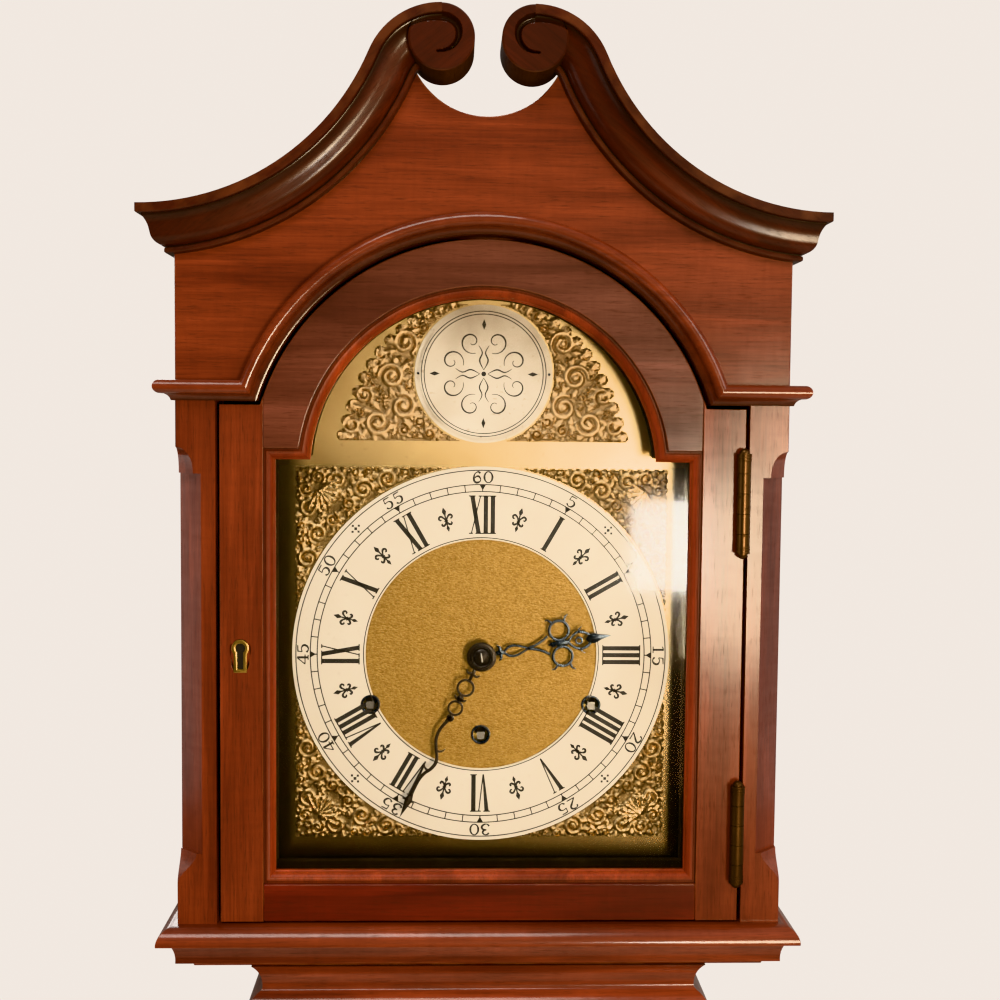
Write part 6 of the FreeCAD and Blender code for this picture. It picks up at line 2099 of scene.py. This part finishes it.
        def below(spots: np.ndarray) -> np.ndarray:
            """Says which spots lie on one side of the corner's diagonal."""
            return self.corner_room(spots) & (spots[:, 0] > spots[:, 1] + 1.0)

        reach = self.corner_reach
        half = self.packed(below, (0.0, 0.0), (reach, reach), self.corner_sizes, 11)
        mirrored = [Stroke(s.path[:, ::-1], s.widths, s.height) for s in half]
        shell = []
        for angle in np.radians((-30, -8, 14, 36, 54, 76, 98, 120)):
            root, length = self.shell_rib
            tip = (root + length * math.cos(angle), root + length * math.sin(angle))
            shell.append(Stroke(np.linspace((root, root), tip, 12), (1.2, 3.4), 1.15))
        return [*half, *mirrored, *shell]

    def arch_room(self, spots: np.ndarray) -> np.ndarray:
        """Says which spots right of the dial's middle lie inside an arch piece's outline.

        Args:
            spots: the points to test.

        Returns:
            Whether each one does.
        """
        side, foot = self.arch_low
        first, last = self.arch_edge[0], self.arch_edge[-1]
        edge = np.array([(side, foot), (first[0], foot), *self.arch_edge, (side, last[1])])
        inside = np.zeros(len(spots), bool)
        for (x1, z1), (x2, z2) in zip(edge, np.roll(edge, -1, axis=0)):
            crosses = (z1 > spots[:, 1]) != (z2 > spots[:, 1])
            at = x1 + (spots[:, 1] - z1) * (x2 - x1) / (z2 - z1 if z2 != z1 else 1e-9)
            inside ^= crosses & (spots[:, 0] < at)
        for x, z in self.arch_edge:
            inside |= np.hypot(spots[:, 0] - x, spots[:, 1] - z) < self.lobe
        return inside & (np.hypot(spots[:, 0], spots[:, 1] - self.boss_z) > self.boss_radius)

    def arch_strokes(self) -> list[Stroke]:
        """Returns an arch piece's scrollwork, with a ribbed leaf in each lobe of its edge."""
        strokes = self.packed(self.arch_room, self.arch_low, self.arch_high, self.arch_sizes, 23)
        for x, z in self.arch_edge:
            out = math.atan2(z - self.boss_z + 30.0, x)
            for turn in (-0.6, 0.0, 0.6):
                tip = (x + 3.9 * math.cos(out + turn), z + 3.9 * math.sin(out + turn))
                root = (x - 3.0 * math.cos(out), z - 3.0 * math.sin(out))
                strokes.append(Stroke(np.linspace(root, tip, 9), (1.2, 2.6, 1.4), 0.95))
        return strokes

    def cast(self, name: str, finish: CastGilt, grid: Sequence[np.ndarray],
             room: Callable[[np.ndarray], np.ndarray], strokes: Sequence[Stroke],
             places: Sequence[Sequence[np.ndarray]]) -> None:
        """Makes one kind of cast piece wherever it stands on the plate.

        Args:
            name: the piece's name.
            finish: its gilding.
            grid: the steps across and up that its relief is worked at.
            room: says which spots lie inside its outline.
            strokes: its scrollwork.
            places: the same steps on the dial, for each copy.
        """
        shape = bmesh.new()
        shape.verts.layers.float.new("crown")
        local = np.array([(a, b) for a in grid[0] for b in grid[1]])
        inside = room(local)
        high = self.heights(local, strokes)
        for xs, zs in places:
            self.raise_relief(shape, xs, zs, inside, high)
        piece = finish_mesh(name, closed(shape), [finish.material(self.effects)], CAST_ANGLE)
        attach(piece, "case", ["spandrels"])

    def build(self) -> None:
        """Makes the four corner pieces, and the two arch pieces with a paler ground."""
        steps = np.arange(0.0, self.corner_reach, self.grid)
        corners = [(side * (self.corner_half - steps), level + way * steps)
                   for side in (-1, 1) for level, way in ((self.corner_high, -1), (self.corner_low, 1))]
        strokes = self.corner_strokes()
        self.cast("cast_spandrels", CastGilt(), (steps, steps), self.corner_room, strokes, corners)
        grid = [np.arange(low, high, self.grid) for low, high in zip(self.arch_low, self.arch_high)]
        arches = [(side * grid[0], grid[1]) for side in (-1, 1)]
        self.cast("cast_arch_pieces", PALE_GILT, grid, self.arch_room, self.arch_strokes(), arches)


@dataclass
class Hands:
    """The pierced and curled hands."""

    effects: Effects
    centre_z: float = 1400.0
    minute_front: float = -71.45
    minute_back: float = -70.25
    minute_turn: float = 206.4
    hour_front: float = -67.95
    hour_back: float = -66.75
    hour_turn: float = 80.8
    ease: float = 0.24
    hour_ease: float = 0.42
    spur: Place = (1.8, 1.2, 0.4)
    pin_turn: float = 55.0
    collet_section: Outline = ((9.0, 0.0), (9.2, -0.5), (8.8, -1.1), (7.2, -1.3), (6.9, -1.9), (6.2, -2.2),
                               (5.5, -1.9), (5.2, -1.6), (4.4, -2.2), (3.2, -2.9), (1.4, -3.2), (0.4, -3.25))

    def minute(self, steel: Material) -> None:
        """Makes the long serpentine minute hand.

        Args:
            steel: its finish.
        """
        sheet = Sheet(self.minute_front, self.minute_back, (0.0, self.centre_z), self.minute_turn)
        sheet.ring((0.0, 0.0), 3.1, 8.0, 40)
        sheet.fill([(-1.2, 7.4), (1.2, 7.4), (1.0, 16.6), (-1.0, 16.6)])
        for side in (-1, 1):
            sheet.curve([(0.0, 12.0), (3.0, 12.6), (4.6, 11.0)], (2.0, 1.5, 0.6), side=side)
            sheet.curve([(0.0, 29.6), (2.6, 29.8), (4.0, 28.4)], (2.4, 1.6, 0.6), side=side)
        sheet.ring((0.0, 21.8), 4.2, 5.7, 36)
        sheet.disc((0.0, 29.2), 2.2)
        sheet.ring((0.0, 35.9), 3.6, 5.0, 36)
        sheet.disc((0.0, 42.8), 2.4)
        stem = [(0.0, 41.5), (1.4, 47.0), (2.6, 52.6), (1.9, 58.4), (-0.6, 63.6), (-3.4, 68.0), (-4.6, 72.2),
                (-3.6, 76.8), (-1.4, 80.8), (0.0, 86.0), (0.2, 92.0), (0.0, 98.0)]
        sheet.curve(stem, (2.8, 1.9, 2.1, 2.0, 2.2, 2.0, 2.2, 2.4), 6)
        sheet.curve([(-1.6, 65.2), (-4.6, 64.0), (-6.0, 61.6)], self.spur)
        sheet.curve([(-2.6, 78.6), (0.4, 77.4), (1.6, 74.8)], self.spur)
        sheet.fill([(-1.2, 96.0), (-2.5, 100.6), (-1.6, 104.0), (0.0, 113.0), (1.6, 104.0), (2.5, 100.6),
                    (1.2, 96.0)])
        sheet.fill([(-4.0, 100.2), (-4.0, 101.2), (4.0, 101.2), (4.0, 100.2)])
        piece = sheet.piece("minute_hand_pierced", steel, self.ease)
        attach(piece, "minute_arbor", ["minute_hand"])

    def hour(self, steel: Material) -> None:
        """Makes the hour hand with its two rings and pierced heart.

        Args:
            steel: its finish.
        """
        sheet = Sheet(self.hour_front, self.hour_back, (0.0, self.centre_z), self.hour_turn)
        sheet.ring((0.0, 0.0), 4.7, 8.4, 40)
        sheet.fill([(-1.4, 7.8), (1.4, 7.8), (1.2, 15.0), (-1.2, 15.0)])
        for side in (-1, 1):
            sheet.curve([(0.0, 11.6), (3.2, 12.0), (4.8, 10.4)], (2.6, 1.8, 0.6), side=side)
            loop = [(0.0, 14.2), (2.6, 17.0), (3.2, 21.0), (1.8, 25.6), (0.0, 29.6)]
            sheet.curve(loop, (1.4, 1.6, 1.4, 1.2), 6, side)
            arm = [(0.0, 29.0), (1.2, 33.6), (3.0, 38.0), (5.8, 42.4)]
            sheet.curve(arm, (1.8, 1.6, 1.6, 1.6), 6, side)
            sheet.ring((side * 8.2, 50.0), 5.2, 6.9, 40)
            sheet.curve([(13.4, 46.0), (15.4, 44.0), (15.4, 42.0)], (1.8, 1.2, 0.5), side=side)
            sheet.curve([(13.6, 54.0), (16.2, 55.0), (17.4, 57.0)], (1.8, 1.2, 0.5), side=side)
            heart = [(0.0, 54.6), (3.4, 57.6), (5.4, 61.6), (4.2, 66.0), (1.4, 69.6)]
            sheet.curve(heart, (1.5, 1.6, 1.8, 1.6), 6, side)
            sheet.curve([(4.6, 62.0), (7.0, 62.4), (8.4, 64.4)], (1.4, 1.0, 0.4), side=side)
        sheet.fill([(-1.6, 44.4), (0.0, 41.8), (1.6, 44.4), (1.6, 54.0), (0.0, 56.0), (-1.6, 54.0)])
        sheet.ring((0.0, 61.4), 1.4, 2.6, 24)
        sheet.fill([(-2.6, 67.6), (-3.2, 71.0), (-1.6, 75.4), (0.0, 82.0), (1.6, 75.4), (3.2, 71.0),
                    (2.6, 67.6), (0.0, 65.6)])
        piece = sheet.piece("hour_hand_pierced", steel, self.hour_ease)
        attach(piece, "hour_pipe", ["hour_hand"])

    def collet(self, steel: Material) -> None:
        """Makes the domed collet with a ring round it, and the pin through it.

        Args:
            steel: its finish.
        """
        shape = bmesh.new()
        turned(shape, (0.0, self.minute_front, self.centre_z), self.collet_section, steps=48)
        dome = finish_mesh("hand_collet_domed", closed(shape), [steel])
        attach(dome, "minute_arbor", ["hand_collet"])
        pin = Sheet(self.minute_front - 3.45, self.minute_front - 2.2, (0.0, self.centre_z),
                    self.minute_turn + self.pin_turn)
        pin.fill([(-2.9, -0.55), (2.9, -0.4), (2.9, 0.4), (-2.9, 0.55)])
        attach(pin.piece("collet_pin", STEEL.material(self.effects), 0.25), "minute_arbor")

    def build(self) -> None:
        """Makes both hands and the collet."""
        steel = BROWNED.material(self.effects)
        self.minute(steel)
        # The hour hand gets the brighter copy of the blued steel: painted sheen.
        self.hour(BRIGHT_BLUED.material(self.effects))
        self.collet(steel)


def dress(nodes: dict[str, Piece], finishes: dict[str, Material]) -> None:
    """Gives solids that stay as they are a better finish.

    Args:
        nodes: the frame's solids by name.
        finishes: the finish of each solid.
    """
    for node, material in finishes.items():
        slots = nodes[node].material_slots
        if not slots:
            nodes[node].data.materials.append(material)
        for slot in slots:
            slot.material = material


@dataclass
class Movement:
    """Brass and steel that keep the frame's own shapes: movement, pendulum, chime and fittings."""

    effects: Effects
    nodes: dict[str, Piece]
    brass: tuple[str, ...] = ("front_plate", "back_plate", "centre_wheel", "third_wheel", "escape_wheel",
                              "intermediate_wheel", "going_barrel", "strike_barrel", "chime_barrel",
                              "minute_wheel", "hour_wheel", "cannon_pinion", "suspension_cock",
                              "pendulum_bob", "rating_nut", "chime_hammers")
    aged: tuple[str, ...] = ("hood_hinge_leaves", "door_hinges", "trunk_hinge_leaves", "trunk_door_hinges",
                             "door_lock_bolt")
    steel: tuple[str, ...] = ("pendulum_rod", "suspension_spring", "anchor", "chime_rods")
    trains: tuple[str, ...] = ("going", "strike", "chime")
    winder_ease: float = 0.3

    def build(self, joinery: Joinery) -> None:
        """Sets each solid's finish, and rounds the winding squares.

        Args:
            joinery: eases the squares' corners.
        """
        for names, metal in ((self.brass, BRASS), (self.aged, DARK_BRASS), (self.steel, STEEL)):
            material = metal.material(self.effects)
            dress(self.nodes, {name: material for name in names})
        dress(self.nodes, {"door_glass": Glazing().material()})
        dark = DARK_STEEL.material(self.effects)
        for train in self.trains:
            joinery.metal(f"{train}_winder", f"{train}_key_arbor", "steel", dark, self.winder_ease)


@dataclass
class HingeCaps:
    """The ringed ends of the door hinges' knuckles."""

    effects: Effects
    knuckle: float = 4.2
    half_length: float = 30.0
    rings: tuple[float, ...] = (1.0, 2.6, 4.2)
    ring_section: Outline = ((4.1, -0.6), (4.4, -0.4), (4.5, 0.0), (4.4, 0.4), (4.1, 0.6))

    def build(self, name: str, body: str, moving: str, middles: Sequence[float]) -> None:
        """Makes the caps of one door's hinges.

        Args:
            name: the piece's name.
            body: the body of the fixed leaves.
            moving: the solid with the turning leaves, which the hinge axis is found from.
            middles: the heights of the hinges' middles.
        """
        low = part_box(moving)[0] / MM
        shape = bmesh.new()
        for middle in middles:
            for end in (-1, 1):
                for ring in self.rings:
                    level = middle + end * (self.half_length - ring)
                    centre = (low.x + self.knuckle, low.y + self.knuckle, level)
                    turned(shape, centre, self.ring_section, True, 28)
        brass = DARK_BRASS.material(self.effects)
        attach(finish_mesh(name, closed(shape), [brass]), body)


def main() -> None:
    """Loads the frame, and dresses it."""
    logging.basicConfig(level=logging.INFO, format="%(message)s")
    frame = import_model()
    nodes = frame["nodes"]
    effects = Effects()
    joinery = Joinery(effects, nodes)
    Studio().build()
    Carcase(joinery).build()
    Hood(joinery).build()
    HoodDoor(joinery).build()
    Dial(effects, nodes).build()
    Hands(effects).build()
    Movement(effects, nodes).build(joinery)
    caps = HingeCaps(effects)
    caps.build("hood_hinge_caps", "hood", "door_hinges", (1298.0, 1498.0))
    caps.build("trunk_hinge_caps", "case", "trunk_door_hinges", (562.0, 992.0))


if __name__ == "__main__":
    main()
